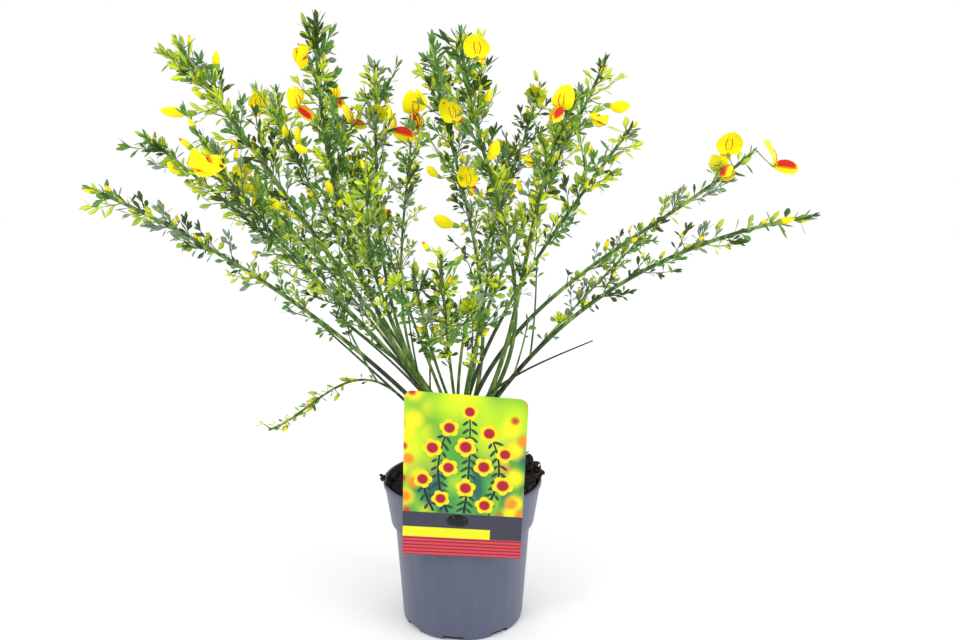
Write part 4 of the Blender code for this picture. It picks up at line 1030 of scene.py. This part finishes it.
# Thin shoots that run bare through the foot of the crown and carry a few leaves at the end only:
# stem, share along it, direction in the front view and lean to the front (degrees), length (mm)
THIN_SHOOTS = (
    ("droopy", 0.49, 114, 5, 91), ("left_third", 0.33, 141, 0, 74), ("right_lower", 0.27, 87, 5, 96),
    ("right_lower", 0.21, 77, 15, 63), ("right_second", 0.15, 89, 12, 90), ("main_left", 0.18, 97, 10, 78),
    ("far_left", 0.32, 113, 5, 40), ("centre_left", 0.17, 87, 20, 70), ("front_right", 0.35, 80, 5, 60),
)
THIN_RADIUS = (1.15 * MM, 0.75 * MM)
# Cups of young lime leaves on short spurs: stem, share along it, direction in the front view and
# lean to the front (degrees), spur length and leaf length (mm)
ROSETTES = (("front_right", 0.78, 190, 40, 14, 14), ("front_left", 0.91, 190, 30, 16, 12),
            ("right_lower", 0.37, 100, 20, 8, 12))
TREES = {}
for name, points in PATHS.items():
    TREES[name] = KDTree(len(points))
    for k, point in enumerate(points):
        TREES[name].insert(point, k)
    TREES[name].balance()


def holds(place, point, slack=0.0, further=0):
    """True where a point is off the pot, inside the solids' box and nearer its own stem than any
    other. Its place is that stem, the path point where its leaves begin and its radius there; a
    radius of 0 lets the point come near other limbs. A leaf may reach out by a slack."""
    name, first, limb = place
    if point.z < RIM_CLEAR_HEIGHT - 2 * slack and math.hypot(point.x, point.y) < RIM_CLEAR_RADIUS - 2 * slack:
        return False
    if any(point[i] < cad_box[0][i] or point[i] > cad_box[1][i] for i in range(3)):
        return False
    _, index, own = TREES[name].find(point)
    if index < first + further - (SLACK_POINTS if slack else 0):
        return False
    near = max(own + SPACE_MARGIN - 2 * slack, limb + LIMB_MARGIN)
    return not limb or all(tree.find(point)[2] >= near for other, tree in TREES.items() if other != name)


def square_to(tangent, degrees):
    """A direction square to a tangent, at a turn from the back."""
    first = (BACK - tangent * BACK.dot(tangent)).normalized()
    angle = math.radians(degrees)
    return first * math.cos(angle) + tangent.cross(first) * math.sin(angle)


def slanted(along, outward, degrees):
    """A direction between two, at a pitch from the first."""
    pitch = math.radians(degrees)
    return along * math.cos(pitch) + outward * math.sin(pitch)


def twig_path(point, tangent, outward, length, pitch):
    """A side twig: leaves at a slant and bends upward."""
    heading = slanted(tangent, outward, pitch)
    middle = point + heading * (length * 0.5)
    return [point, middle, middle + (heading + UP * 0.28).normalized() * (length * 0.5)]


def leaf_shape(kind):
    """A leaf one unit long and wide, along X and facing Z, folded on its midrib and arched."""
    rings = []
    for along, half in LEAF_OUTLINES[kind]:
        drop = -LEAF_ARCH * along ** 2 * 0.5
        rise = LEAF_FOLD * half * 0.5
        rings.append([(along, half, drop + rise), (along, 0, drop), (along, -half, drop + rise),
                      (along, 0, drop - LEAF_THICKNESS)] if half else [(along, 0, drop)])
    return solid_of(rings)


# Leaves by kind and tint, dealt out a spray at a time, and the twigs and spurs they stand on
TINTS = {"deep": "#466328", "grey": "#8AA182", "mid": "#699A44", "fresh": "#A5C544", "lime": "#DAEC3A"}
TINT_LIMITS = (("deep", 0.25), ("grey", 0.38), ("mid", 0.62), ("fresh", 0.86), ("lime", math.inf))
leaves = {(kind, tint): [] for kind in LEAF_OUTLINES for tint in TINTS}
twig_rows = []


def deal_tint(dice, share):
    """The tint of a spray: deeper low on the stem, limier towards its tip."""
    roll = dice.random() + 0.30 * (share - 0.65)
    return next(tint for tint, limit in TINT_LIMITS if roll < limit)


def deal_kind(dice, share):
    """Spoon leaves low on a stem, blades towards its tip, and both between."""
    return "spoon" if dice.uniform(*BLADES_ABOVE) > share else "blade"


def tuft(place, root, way, count, form, small, kind, tint, dice):
    """A tuft of leaves about a direction. Only those that their place holds are kept."""
    lengths, spread = form
    turn = dice.uniform(0, 360)
    for k in range(count):
        outward = square_to(way, turn + 360 * k / count + dice.uniform(-25, 25))
        pitch = dice.uniform(*spread)
        axis = slanted(way, outward, pitch).normalized()
        face = (slanted(way, outward, pitch - 90) + way.cross(outward) * dice.uniform(-0.5, 0.5)).normalized()
        length = dice.uniform(lengths[0] * small, lengths[1] * small)
        wide = length * LEAF_WIDTH[kind] * dice.uniform(0.78, 1.25)
        if holds(place, root + axis * length, LEAF_SLACK):
            leaves[kind, tint].append((root, axis, face, (length, wide, wide)))


def dress_twig(place, route, small, kind, tint, dice, steps=7):
    """Tufts along a side twig and a closer one at its tip."""
    for k in range(1, steps):
        spot, way = spot_on(route, k / steps)
        out = (way + square_to(way, NODE_TURN * k) * 0.7).normalized()
        tuft(place, spot, out, dice.choice((2, 3, 3)), TUFTS["twig"], small, kind, tint, dice)
    tip, way = spot_on(route, 1.0)
    tuft(place, tip, way, 5, TUFTS["twig_tip"], small, "blade", tint, dice)


for number, (name, (_, thickness, _)) in enumerate(STEMS.items()):
    points = PATHS[name]
    first = mass_start(points)
    place = (name, first, stem_radius(thickness, first / PATH_STEPS))
    seed = STEM_SEED + number
    size, close, bright = HABIT.get(name, COMMON_HABIT)
    top = max(point.z for point in points) - TOP_CLEAR
    leafy = length_of(points[first:])
    # Nodes, each with a side twig or a spur
    count = max(3, round(leafy / NODE_STEP))
    turn = random.Random(seed).uniform(0, 360)
    for k in range(count):
        dice = random.Random(seed * 100 + k)
        share = (first + (PATH_STEPS - first) * (k + 0.6) / count) / PATH_STEPS
        small = size * (LEAF_GROWTH[0] + LEAF_GROWTH[1] * share)
        point, tangent = spot_on(points, share)
        outward = square_to(tangent, turn + NODE_TURN * k + dice.uniform(-14, 14))
        if k % TWIG_EVERY == 2 and share < TWIGS_END and size > TWIGGY:
            length = dice.uniform(*TWIG_LENGTH) * (1.15 - 0.5 * share)
            pitch = TWIG_PITCH + dice.uniform(-7, 7)
            for part in TWIG_PARTS:
                route = twig_path(point, tangent, outward, length * part * min(1.0, close), pitch)
                if route[-1].z < top and all(holds(place, spot, further=1) for spot in route[1:]):
                    curve = bent(route, 8)
                    twig_rows.append([(spot, TWIG_RADIUS * (1 - 0.06 * n)) for n, spot in enumerate(curve)])
                    dress_twig(place, curve, small, deal_kind(dice, share),
                               deal_tint(dice, share + bright), dice)
                    break
        else:
            way = slanted(tangent, outward, SPUR_PITCH + dice.uniform(-14, 14)).normalized()
            end = point + way * dice.uniform(*SPUR_LENGTH) * min(1.0, small)
            if dice.random() < close and end.z < top and holds(place, end):
                twig_rows.append([(point, SPUR_RADIUS * 1.5), (point.lerp(end, 0.5), SPUR_RADIUS * 1.2),
                                  (end, SPUR_RADIUS)])
                tuft(place, end, way, dice.randint(*TUFT_LEAVES), TUFTS["spur"], small,
                     deal_kind(dice, share), deal_tint(dice, share + bright), dice)
    # Leafy shoots and tufts straight on the stem between the nodes
    fine = round(leafy / LEAF_STEP * close)
    for k in range(fine):
        dice = random.Random(seed * 1000 + k)
        along = ((k + dice.uniform(0.3, 0.7)) / fine) ** LEAF_RISE
        share = (first + (PATH_STEPS - first) * along) / PATH_STEPS
        if share > 1 - 2 * STEM_SHORT / (leafy * PATH_STEPS / (PATH_STEPS - first)):
            continue
        small = size * (LEAF_GROWTH[0] + LEAF_GROWTH[1] * share)
        point, tangent = spot_on(points, share)
        outward = square_to(tangent, NODE_TURN * k + 40)
        kind = deal_kind(dice, share)
        tint = deal_tint(dice, share + bright)
        if k % SHOOT_EVERY == 1 and size > TWIGGY:
            route = twig_path(point, tangent, outward, dice.uniform(*SHOOT_LENGTH), dice.uniform(26, 50))
            if route[-1].z < top and all(holds(place, spot, LEAF_SLACK / 2) for spot in route[1:]):
                curve = bent(route, 4)
                twig_rows.append([(spot, SPUR_RADIUS * (1.3 - 0.12 * n)) for n, spot in enumerate(curve)])
                dress_twig(place, curve, small, kind, tint, dice, 4)
                continue
        skin = point + outward * young_radius(thickness, share, first) * 0.7
        way = (tangent * 0.75 + outward).normalized()
        tuft(place, skin, way, dice.choice((1, 2, 3)), TUFTS["stem"], small, kind, tint, dice)
    dice = random.Random(seed * 1000 + 999)
    tip, tangent = points[-1], (points[-1] - points[-4]).normalized()
    for back in TIP_TUFTS:
        tuft(place, tip - tangent * (back * MM), tangent, 4, TUFTS["tip"], size, "blade",
             deal_tint(dice, 1.0 + bright), dice)


def facing_way(angle, lean):
    """A direction from its angle in the front view and its lean to the front, in degrees."""
    turn, tilt = math.radians(angle), math.radians(lean)
    return Vector((math.cos(turn) * math.cos(tilt), -math.sin(tilt), math.sin(turn) * math.cos(tilt)))


def long_shoot(name, share, angle, lean, length, sag):
    """Points along a shoot that leaves a stem at a share of its length and bends a little."""
    point, tangent = spot_on(PATHS[name], share)
    end = point + facing_way(angle, lean) * (length * MM)
    return bent([point, point.lerp(end, 0.5) - (UP - tangent) * (length * sag * MM), end], 12)


for number, (name, share, *aim, length, tint) in enumerate(SIDE_SHOOTS):
    dice = random.Random(STEM_SEED + number)
    curve = long_shoot(name, share, *aim, length, 0.07)
    twig_rows.append([(spot, TWIG_RADIUS * (1.35 - 0.05 * n)) for n, spot in enumerate(curve)])
    dress_twig((name, 0, 0.0), curve, 1.0, deal_kind(dice, share), tint, dice,
               round(length / SIDE_SHOOT_STEP))
for number, (name, *shoot) in enumerate(THIN_SHOOTS):
    curve = long_shoot(name, *shoot, 0.05)
    twig_rows.append([(spot, THIN_RADIUS[0] + (THIN_RADIUS[1] - THIN_RADIUS[0]) * n / 12)
                      for n, spot in enumerate(curve)])
    dress_twig((name, 0, 0.0), curve[-5:], 0.8, "spoon", "mid", random.Random(number), 3)
for name, share, angle, lean, reach, length in ROSETTES:
    point, _ = spot_on(PATHS[name], share)
    way = facing_way(angle, lean)
    base = point + way * (reach * MM)
    cup = (way * 0.5 + UP * 0.6 - BACK * 0.4).normalized()
    twig_rows.append([(point, SPUR_RADIUS * 1.8), (point.lerp(base, 0.5), SPUR_RADIUS * 1.5),
                      (base, SPUR_RADIUS * 1.4)])
    for count, tint, spread in ((5, "lime", (14, 24)), (7, "lime", (34, 52)), (6, "fresh", (60, 78))):
        form = ((length * 0.85 * MM, length * MM), spread)
        tuft((name, 0, 0.0), base, cup, count, form, 1.0, "spoon", tint, random.Random(count))


def sown(meshes, rows, finish):
    """One mesh of a smooth shape, which these meshes make up, at each row."""
    mesh = closed(opened(*meshes))
    mesh.shade_smooth()
    shape = linked("shape", mesh)
    made = planted(shape, rows, finish)
    bpy.data.objects.remove(shape)
    return made


# Broom leaves: thin and slightly silky, with a soft satin shine. Each tint is one plain colour
for tint, code in TINTS.items():
    leaf_finish, _, _ = new_finish(f"broom_leaf_{tint}", {"IOR": 1.42, "Roughness": 0.55,
                                                          "Specular IOR Level": 0.25,
                                                          "Base Color": linear(code)})
    meshes = [sown([leaf_shape(kind)], leaves[kind, tint], leaf_finish)
              for kind in LEAF_OUTLINES if leaves[kind, tint]]
    add_piece(f"leaves_{tint}", closed(opened(*meshes)), leaf_finish, smooth=0).data.shade_smooth()
add_piece("twigs_green", limbs(twig_rows, stem_finish), stem_finish, smooth=60)


# Blossom
# Pea flowers on slender stalks: a broad upright standard, two wings that are crimson with an
# orange and yellow edge, and a boat-shaped keel between them, all out of a small green calyx.
# Young flowers are still folded in their standard, like a yellow beak. Half-open ones hood it
# over their wings.
# Each row of a stem: share of the way along it, direction of the stalk in the front view and its
# lean to the front (degrees), stalk length (mm), kind, size, the way the flower faces (front
# view and lean, degrees), and the tilt of its standard in the front view, or of a folded one to
# the front (degrees).
BLOOMS = {
    "tall_left": ((0.88, 160, 20, 13, "half", 1.0, 98, 30, 10),
                  (0.81, 180, 30, 24, "open", 0.95, -25, 15, 140),
                  (0.71, 160, 45, 23, "folded", 0.9, 175, 20, 0),
                  (0.62, 170, 50, 6, "folded", 1.3, 105, 30, 60),
                  (0.60, 230, 50, 4, "folded", 0.85, 60, 30, 60)),
    "tall_second": ((0.99, 110, 30, 6, "open", 0.9, -20, 35, 95),
                    (0.92, 10, 25, 18, "open", 0.95, 0, 18, 105)),
    "left_mid": ((0.93, 190, 50, 23, "open", 0.95, 170, -62, 95),
                 (0.80, 20, 45, 12, "folded", 1.25, 88, 25, 0),
                 (0.83, 230, 40, 5, "folded", 1.25, 86, 20, 80)),
    "left_second": ((0.86, 220, 40, 7, "folded", 1.15, 148, 30, 0),),
    "left_third": ((0.92, 20, 50, 15, "half", 1.35, -172, 30, 75),),
    "left_fourth": ((0.95, 120, -45, 12, "open", 1.0, 120, -55, 90),),
    "main_left": ((0.85, 200, 10, 26, "folded", 1.6, 178, 10, 80),
                  (0.69, 190, 40, 21, "folded", 1.15, 178, 20, 0),
                  (0.68, 230, 40, 16, "folded", 1.15, 182, 25, 0),
                  (0.62, 190, 40, 9, "folded", 1.0, 165, 25, 0)),
    "centre_back": ((0.99, 330, 30, 4, "open", 1.35, -60, 42, 100),
                    (0.91, 180, 40, 28, "open", 1.4, -4, 8, 85)),
    "high_mid": ((0.78, 20, 62, 18, "open", 1.1, 10, -62, 100),
                 (0.62, 30, 62, 15, "open", 0.95, -20, -66, 95),
                 (0.66, 190, 20, 21, "folded", 1.0, 150, 15, 30),
                 (0.55, 210, 30, 17, "folded", 1.5, 168, 15, 30)),
    "high_right": ((0.93, -12, 40, 18, "open", 1.0, 50, -70, 88),
                   (0.69, 110, 50, 5, "folded", 1.35, 50, 20, 0)),
    "right_front": ((0.94, 180, 35, 8, "open", 1.0, -158, 48, 85),),
    "right_tall": ((0.85, 340, 30, 11, "half", 0.9, -42, 25, 50),
                   (0.88, 340, 10, 21, "folded", 1.4, -14, 10, 0)),
    "right_back": ((0.79, 341, 40, 9, "half", 0.95, -30, 40, 60),
                   (0.92, 60, -45, 12, "open", 1.0, 50, -60, 90)),
    "right_upper": ((0.92, 120, 10, 16, "open", 1.12, 60, -78, 88),
                    (0.91, 130, 40, 6, "open", 1.2, -135, 42, 205),
                    (0.99, 320, 10, 26, "open", 1.2, 3, 24, 84)),
    "right_middle": ((0.84, 60, -45, 12, "folded", 1.0, 60, -40, 0),),
    "back_left": ((0.90, 150, -35, 12, "open", 1.0, 140, -45, 90),
                  (0.74, 40, -45, 12, "open", 1.0, 60, -55, 90)),
    "back_right": ((0.93, 30, -35, 12, "open", 1.0, 40, -50, 90),
                   (0.78, 150, -45, 12, "folded", 1.0, 120, -50, 0)),
    "forked": ((0.80, 80, -50, 12, "open", 0.95, 90, -65, 90),),
}
# Buds, each row: share of the way along the stem, direction and length of the stalk, bud length
BUDS = {
    "far_left": ((0.62, 50, 18, 8), (0.72, 40, 12, 9), (0.73, 340, 2, 10), (0.79, 50, 8, 9),
                 (0.90, 140, 2, 9), (0.93, 90, 3, 13), (0.97, 300, 2, 16)),
    "left_second": ((0.95, 90, 3, 8), (0.98, 180, 2, 11)),
    "left_third": ((0.83, 120, 3, 9), (0.88, 190, 2, 14), (0.92, 10, 16, 12), (0.97, 210, 12, 15),
                   (0.99, 130, 5, 11)),
    "main_left": ((0.74, 80, 2, 12), (0.77, 240, 9, 15), (0.83, 40, 4, 11), (0.87, 210, 9, 14),
                  (0.90, 40, 2, 11), (0.91, 20, 16, 18), (0.97, 20, 10, 9), (0.97, 120, 4, 12)),
    "left_mid": ((0.66, 250, 2, 13), (0.71, 20, 11, 9), (0.88, 200, 15, 14), (0.99, 200, 14, 10)),
    "tall_second": ((0.66, 90, 2, 10),),
    "forked": ((0.67, 10, 4, 8), (0.72, 350, 5, 8), (0.88, 180, 19, 8), (0.88, 250, 3, 13)),
    "centre_left": ((0.90, 10, 4, 8), (0.96, 150, 3, 12)),
    "centre_back": ((0.73, 170, 14, 8), (0.78, 350, 7, 10), (0.83, 180, 11, 8)),
    "high_mid": ((0.48, 290, 3, 10), (0.52, 190, 7, 9), (0.58, 10, 12, 14), (0.89, 20, 8, 13)),
    "high_right": ((0.63, 0, 2, 15), (0.81, 20, 16, 18), (0.88, 220, 7, 8)),
    "right_back": ((0.60, 180, 12, 8), (0.67, 330, 5, 12), (0.71, 270, 4, 13), (0.95, 140, 2, 14),
                   (0.99, 150, 6, 13)),
    "right_front": ((0.67, 340, 3, 14), (0.71, 170, 18, 16), (0.74, 200, 4, 12), (0.79, 40, 3, 12),
                    (0.83, 140, 13, 12), (0.87, 90, 3, 16), (0.89, 150, 13, 11)),
    "right_tall": ((0.56, 180, 6, 18),),
    "right_second": ((0.75, 140, 9, 8), (0.84, 130, 17, 12), (0.99, 260, 2, 10)),
    "right_upper": ((0.62, 120, 9, 8),),
    "right_lower": ((0.62, 130, 13, 8), (0.71, 120, 16, 8), (0.78, 100, 11, 13), (0.90, 0, 3, 20),
                    (0.90, 120, 5, 12)),
    "front_left": ((0.71, 0, 4, 12),),
    "front_mid": ((0.71, 50, 2, 13), (0.95, 0, 13, 8), (0.99, 170, 10, 12)),
}
BUD_TINTS = {"green": "#B4C81E", "yellow": "#EEE20A"}
BUD_TIP = "#DC7A14"
STALK_RADIUS = 0.45 * MM
STANDARD_WIDTH = 25 * MM
STANDARD_HEIGHT = 22 * MM
HOOD_TURN = math.radians(70)
WING_LENGTH = 20 * MM
WING_HEIGHT = 12.5 * MM
KEEL_LENGTH = 18 * MM
FOLDED_LENGTH = 18 * MM
PETAL_THICKNESS = 0.3 * MM
BUD_SEED = 71
RANDOM_BUDS = 8
# Limits of a bud placed at random: share, direction and lean of its stalk, its length, the bud's
RANDOM_BUD = ((0.55, 0.96), (0, 360), (-70, 30), (3, 8), (9, 14))
YELLOW_BUDS = 2 / 3
COLOURED_TIPS = 0.4


def span(low, high, steps):
    """Equal steps from one number to another."""
    return [low + (high - low) * k / steps for k in range(steps + 1)]


def shell(grid, thickness):
    """A closed thin shell on a grid of points, its second face set in along the normals."""
    rows, columns = len(grid), len(grid[0])
    count = rows * columns
    sheet = mesh_of([spot for row in grid for spot in row],
                    [[r * columns + c, r * columns + c + 1, (r + 1) * columns + c + 1, (r + 1) * columns + c]
                     for r in range(rows - 1) for c in range(columns - 1)])
    verts = [v.co for v in sheet.vertices] + [v.co - v.normal * thickness for v in sheet.vertices]
    faces = [list(p.vertices) for p in sheet.polygons]
    faces += [[count + k for k in reversed(side)] for side in faces]
    edge = [*range(columns), *range(2 * columns - 1, count, columns),
            *range(count - 2, count - columns - 1, -1), *range(count - 2 * columns, 0, -columns)]
    faces += [[a, b, b + count, a + count] for a, b in zip(edge, edge[1:] + edge[:1])]
    return mesh_of(verts, faces)


def standard_at(u, v, hooded=False):
    """A point of the standard: u across from -1 to 1, v from its claw to its notched tip. It
    stands up in an open flower, and bends over the wings while it is half open."""
    half = STANDARD_WIDTH / 2 * math.sin(math.pi * (0.06 + 0.92 * v) ** 0.85) ** 0.55
    rise = STANDARD_HEIGHT * v * (1 - 0.09 * math.exp(-(u / 0.25) ** 2) * v ** 6)
    ahead = 4 * MM * math.sin(math.pi * min(1, v * 1.15)) * (1 - v) - 3.5 * MM * v ** 2
    swept_back = (-12 if hooded else 5.5) * MM * u ** 2 * (0.25 + 0.75 * v)
    crease = 0.9 * MM * math.exp(-(u / 0.14) ** 2)
    point = Vector((ahead - swept_back - crease, u * half * (0.8 if hooded else 1), rise))
    return Matrix.Rotation(HOOD_TURN, 3, "Y") @ point if hooded else point


def wing_at(s, t, side):
    """A point of a wing: s along it, t across it from its lower to its upper edge. The two
    wings lie close about the keel, arch over it and meet at its ends."""
    half = WING_HEIGHT / 2 * math.sin(math.pi * (0.07 + 0.91 * s) ** 1.15) ** 0.5
    arch = 1 - (0.9 * t ** 2.5 if t > 0 else 0.35 * t * t)
    out = 1.1 * MM + 3.4 * MM * math.sin(math.pi * min(1, s * 0.92)) ** 0.8 * arch
    return Vector((WING_LENGTH * s, side * out, -0.5 * MM - 3.5 * MM * s ** 1.5 + t * half))


def wing_patches(first, start, low, high, lift):
    """A patch on each wing, from a share of its length on, between these shares of its height
    and lifted off it by millimetres."""
    return [shell([[wing_at(s, t, side) + Vector((0, side * lift, 0)) * MM for t in span(low, high, 5)]
                   for s in span(first + start, 0.96 - start, 8)], PETAL_THICKNESS * 0.8) for side in (-1, 1)]


def spindle(stations, flat=1.0, corners=8):
    """A closed spindle through stations of (x, z, radius), flattened sideways."""
    return solid_of([[(x, radius * flat * math.cos(a), z + radius * math.sin(a))
                      for a in turns(corners if radius else 1)] for x, z, radius in stations])


def beak(length, radius, bend, flat, rings, corners, late):
    """A bud: a pointed spindle that bends upward towards its tip, widest later as late grows."""
    between = [(length * s, bend * s ** 2, radius * math.sin(math.pi * s ** late) ** 0.75)
               for s in span(0, 1, rings)[1:-1]]
    return spindle([(0, 0, 0), *between, (length, bend, 0)], flat, corners)


# The parts of one flower about its receptacle: X is the way it faces, Z its standard
steps = span(0, 1, 9)
standard, hood = [shell([[standard_at(2 * c - 1, r, hooded) for c in steps] for r in steps], PETAL_THICKNESS)
                  for hooded in (False, True)]
wings = [shell([[wing_at(r, 2 * c - 1, side) for c in steps[::2] + [1.0]] for r in steps], PETAL_THICKNESS)
         for side in (-1, 1)]
keel = spindle([(0, -1.0 * MM, 0), *[(KEEL_LENGTH * s, (-1.5 - 4.5 * s * s) * MM,
                                      3.2 * MM * math.sin(math.pi * s ** 0.9) ** 0.7) for s in steps[1:-1]],
                (KEEL_LENGTH, -5.6 * MM, 0)], 0.6)
# Fine crimson lines run up the standard, and show on its back too
veins = []
for u, lift in ((-0.24, 0.25), (0.0, 0.25), (0.24, 0.25), (-0.24, -0.42), (0.24, -0.42)):
    veins.append(shell([[standard_at(u * math.sin(math.pi * v * 1.15) + w, v) + Vector((lift, 0, 0)) * MM
                         for w in (-0.03, 0.03)] for v in (0.16, 0.26, 0.36, 0.46, 0.56, 0.66)], 0.2 * MM))
calyx, folded_calyx = [
    spindle([(x * MM, z * MM, radius * MM) for x, z, radius in stations], 0.9) for stations in (
        ((-3, 0, 0), (-2.6, 0, 1.1), (-1, 0, 2.1), (1.5, -0.3, 2.5), (3.2, -0.6, 1.9), (3.4, -0.6, 0)),
        ((-2.4, 0, 0), (-2, 0, 1), (0, 0, 1.9), (2.8, 0.2, 2.1), (3, 0.2, 0)))]
ORANGE_PATCH = (0.0, -0.24, 0.99, 0.35)
CRIMSON_PATCH = (0.08, 0.02, 0.97, 0.65)
flower_parts = {
    "open": {"petal_yellow": [standard, *wings, keel], "petal_orange": wing_patches(0.10, *ORANGE_PATCH),
             "petal_crimson": wing_patches(0.10, *CRIMSON_PATCH) + veins, "calyx": [calyx]},
    "half": {"petal_yellow": [*wings, keel, hood], "petal_orange": wing_patches(0.46, *ORANGE_PATCH),
             "petal_crimson": wing_patches(0.46, *CRIMSON_PATCH), "calyx": [calyx]},
    "folded": {"petal_yellow": [beak(FOLDED_LENGTH, 4.9 * MM, 3.2 * MM, 0.62, 9, 12, 1.3)],
               "calyx": [folded_calyx]},
}
flower_rows = {kind: [] for kind in flower_parts}
stalk_rows = []
for name, rows in BLOOMS.items():
    for share, angle, lean, reach, kind, size, face, face_lean, rise in rows:
        point, _ = spot_on(PATHS[name], share)
        base = point + facing_way(angle, lean) * (reach * MM)
        facing = facing_way(face, face_lean)
        upright = facing_way(90, rise) if kind == "folded" else facing_way(rise, 0)
        if abs(upright.dot(facing)) > 0.95:
            upright = BACK
        normal = (upright - facing * upright.dot(facing)).normalized()
        flower_rows[kind].append((base, facing, normal, (size, size, size)))
        sag = point.lerp(base, 0.5) - UP * (reach * 0.08 * MM)
        heel = base - facing * (2.6 * MM * size)
        stalk_rows.append([(point, STALK_RADIUS * 1.3), (sag, STALK_RADIUS),
                           (point.lerp(heel, 0.85), STALK_RADIUS), (heel, STALK_RADIUS * 1.2)])
bud_rows = {tint: [] for tint in BUD_TINTS}
calyx_rows = []
tip_rows = []
dice = random.Random(BUD_SEED)


def lay_bud(name, share, angle, lean, reach, length):
    """A bud on its short stalk, pointing out and up along the stem."""
    point, tangent = spot_on(PATHS[name], share)
    out = facing_way(angle, lean)
    base = point + out * (reach * MM)
    axis = (out * 0.45 + tangent * 0.75 + UP * 0.25).normalized()
    row = (base, axis, out, (length * MM, length * MM * 0.36, length * MM * 0.40))
    bud_rows["yellow" if dice.random() < YELLOW_BUDS else "green"].append(row)
    if dice.random() < COLOURED_TIPS:
        tip_rows.append(row)
    calyx_rows.append(row)
    stalk_rows.append([(point, STALK_RADIUS), (point.lerp(base, 0.6) + axis * 0.4 * MM, STALK_RADIUS * 0.8),
                       (base + axis * 0.6 * MM, STALK_RADIUS)])


for name, rows in BUDS.items():
    for share, angle, reach, length in rows:
        lay_bud(name, share, angle, dice.uniform(0, 35), reach, length)
for name in STEMS:
    for _ in range(RANDOM_BUDS):
        lay_bud(name, *[dice.uniform(*limits) for limits in RANDOM_BUD])


def petal_finish(name, code):
    """Petals: thin and soft, with a fine velvety surface that keeps them matt and bright."""
    return new_finish(f"broom_{name}", {"IOR": 1.4, "Roughness": 0.5, "Specular IOR Level": 0.2,
                                        "Sheen Weight": 0.15, "Sheen Roughness": 0.5,
                                        "Base Color": linear(code)})[0]


cup = spindle([(-0.03, 0, 0), (0.0, 0, 0.25), (0.12, 0, 0.44), (0.30, 0.02, 0.50), (0.32, 0.02, 0)], 1.0, 6)
for part, code in (("petal_yellow", "#FFF000"), ("petal_orange", "#F08208"), ("petal_crimson", "#D0240A"),
                   ("calyx", "#8CAA3A")):
    finish = petal_finish(part, code)
    meshes = [sown(parts[part], flower_rows[kind], finish)
              for kind, parts in flower_parts.items() if part in parts]
    if part == "calyx":
        meshes.append(sown([cup], calyx_rows, finish))
    add_piece(f"blossom_{part}", closed(opened(*meshes)), finish, smooth=60)
bud = beak(1.0, 0.5, 0.14, 1.0, 5, 6, 0.9)
for tint, code in BUD_TINTS.items():
    finish = petal_finish(f"bud_{tint}", code)
    add_piece(f"buds_{tint}", sown([bud], bud_rows[tint], finish), finish, smooth=60)
bud_tip = spindle([(0.66, 0.06, 0), (0.70, 0.068, 0.38), (0.84, 0.10, 0.27), (1.03, 0.148, 0)], 1.0, 6)
finish = petal_finish("bud_tip", BUD_TIP)
add_piece("bud_tips", sown([bud_tip], tip_rows, finish), finish, smooth=60)
add_piece("stalks_green", limbs(stalk_rows, stem_finish), stem_finish, smooth=60)


# Floor, light and camera
# A plain white floor under an even white sky, as on a light table, with a broad soft lamp at the
# upper left and a wider, weaker one at the right. The camera stands where the photograph's did.
CAMERA_PLACE = (18.8 * MM, -872 * MM, 487 * MM)
CAMERA_DOWN = math.radians(10.4)
CAMERA_SENSOR = 36
CAMERA_FOCAL = 850 / 960 * CAMERA_SENSOR
CAMERA_NEAREST = 0.01
FLOOR_SIZE = 12.0
LAMP_AIM = Vector((0, 0, 0.35))
# Each row: name of the lamp, place, size and power
LAMPS = (("key", (-1.2, -1.6, 1.9), 0.7, 13), ("fill", (1.6, -1.0, 1.2), 1.2, 11))
bpy.ops.mesh.primitive_plane_add(size=FLOOR_SIZE)
floor = bpy.context.object
floor.name = "floor"
floor_finish, _, _ = new_finish("white_floor", {"Roughness": 0.9, "Specular IOR Level": 0.1,
                                                "Base Color": linear("#FFFFFF")})
floor.data.materials.append(floor_finish)

world = bpy.data.worlds.new("white_sky")
world.use_nodes = True
set_inputs(world.node_tree.nodes["Background"], {"Color": (1, 1, 1, 1), "Strength": 1.0})
bpy.context.scene.world = world
for name, place, size, watts in LAMPS:
    light = bpy.data.lights.new(name, "AREA")
    light.size = size
    light.energy = watts
    lamp = linked(name, light)
    lamp.location = place
    lamp.rotation_euler = (LAMP_AIM - Vector(place)).to_track_quat("-Z", "Y").to_euler()
bpy.context.scene.view_settings.view_transform = "Standard"

camera_data = bpy.data.cameras.new("camera")
camera_data.sensor_width = CAMERA_SENSOR
camera_data.lens = CAMERA_FOCAL
camera_data.clip_start = CAMERA_NEAREST
camera = linked("camera", camera_data)
camera.location = CAMERA_PLACE
camera.rotation_euler = (math.radians(90) - CAMERA_DOWN, 0, 0)
bpy.context.scene.camera = camera
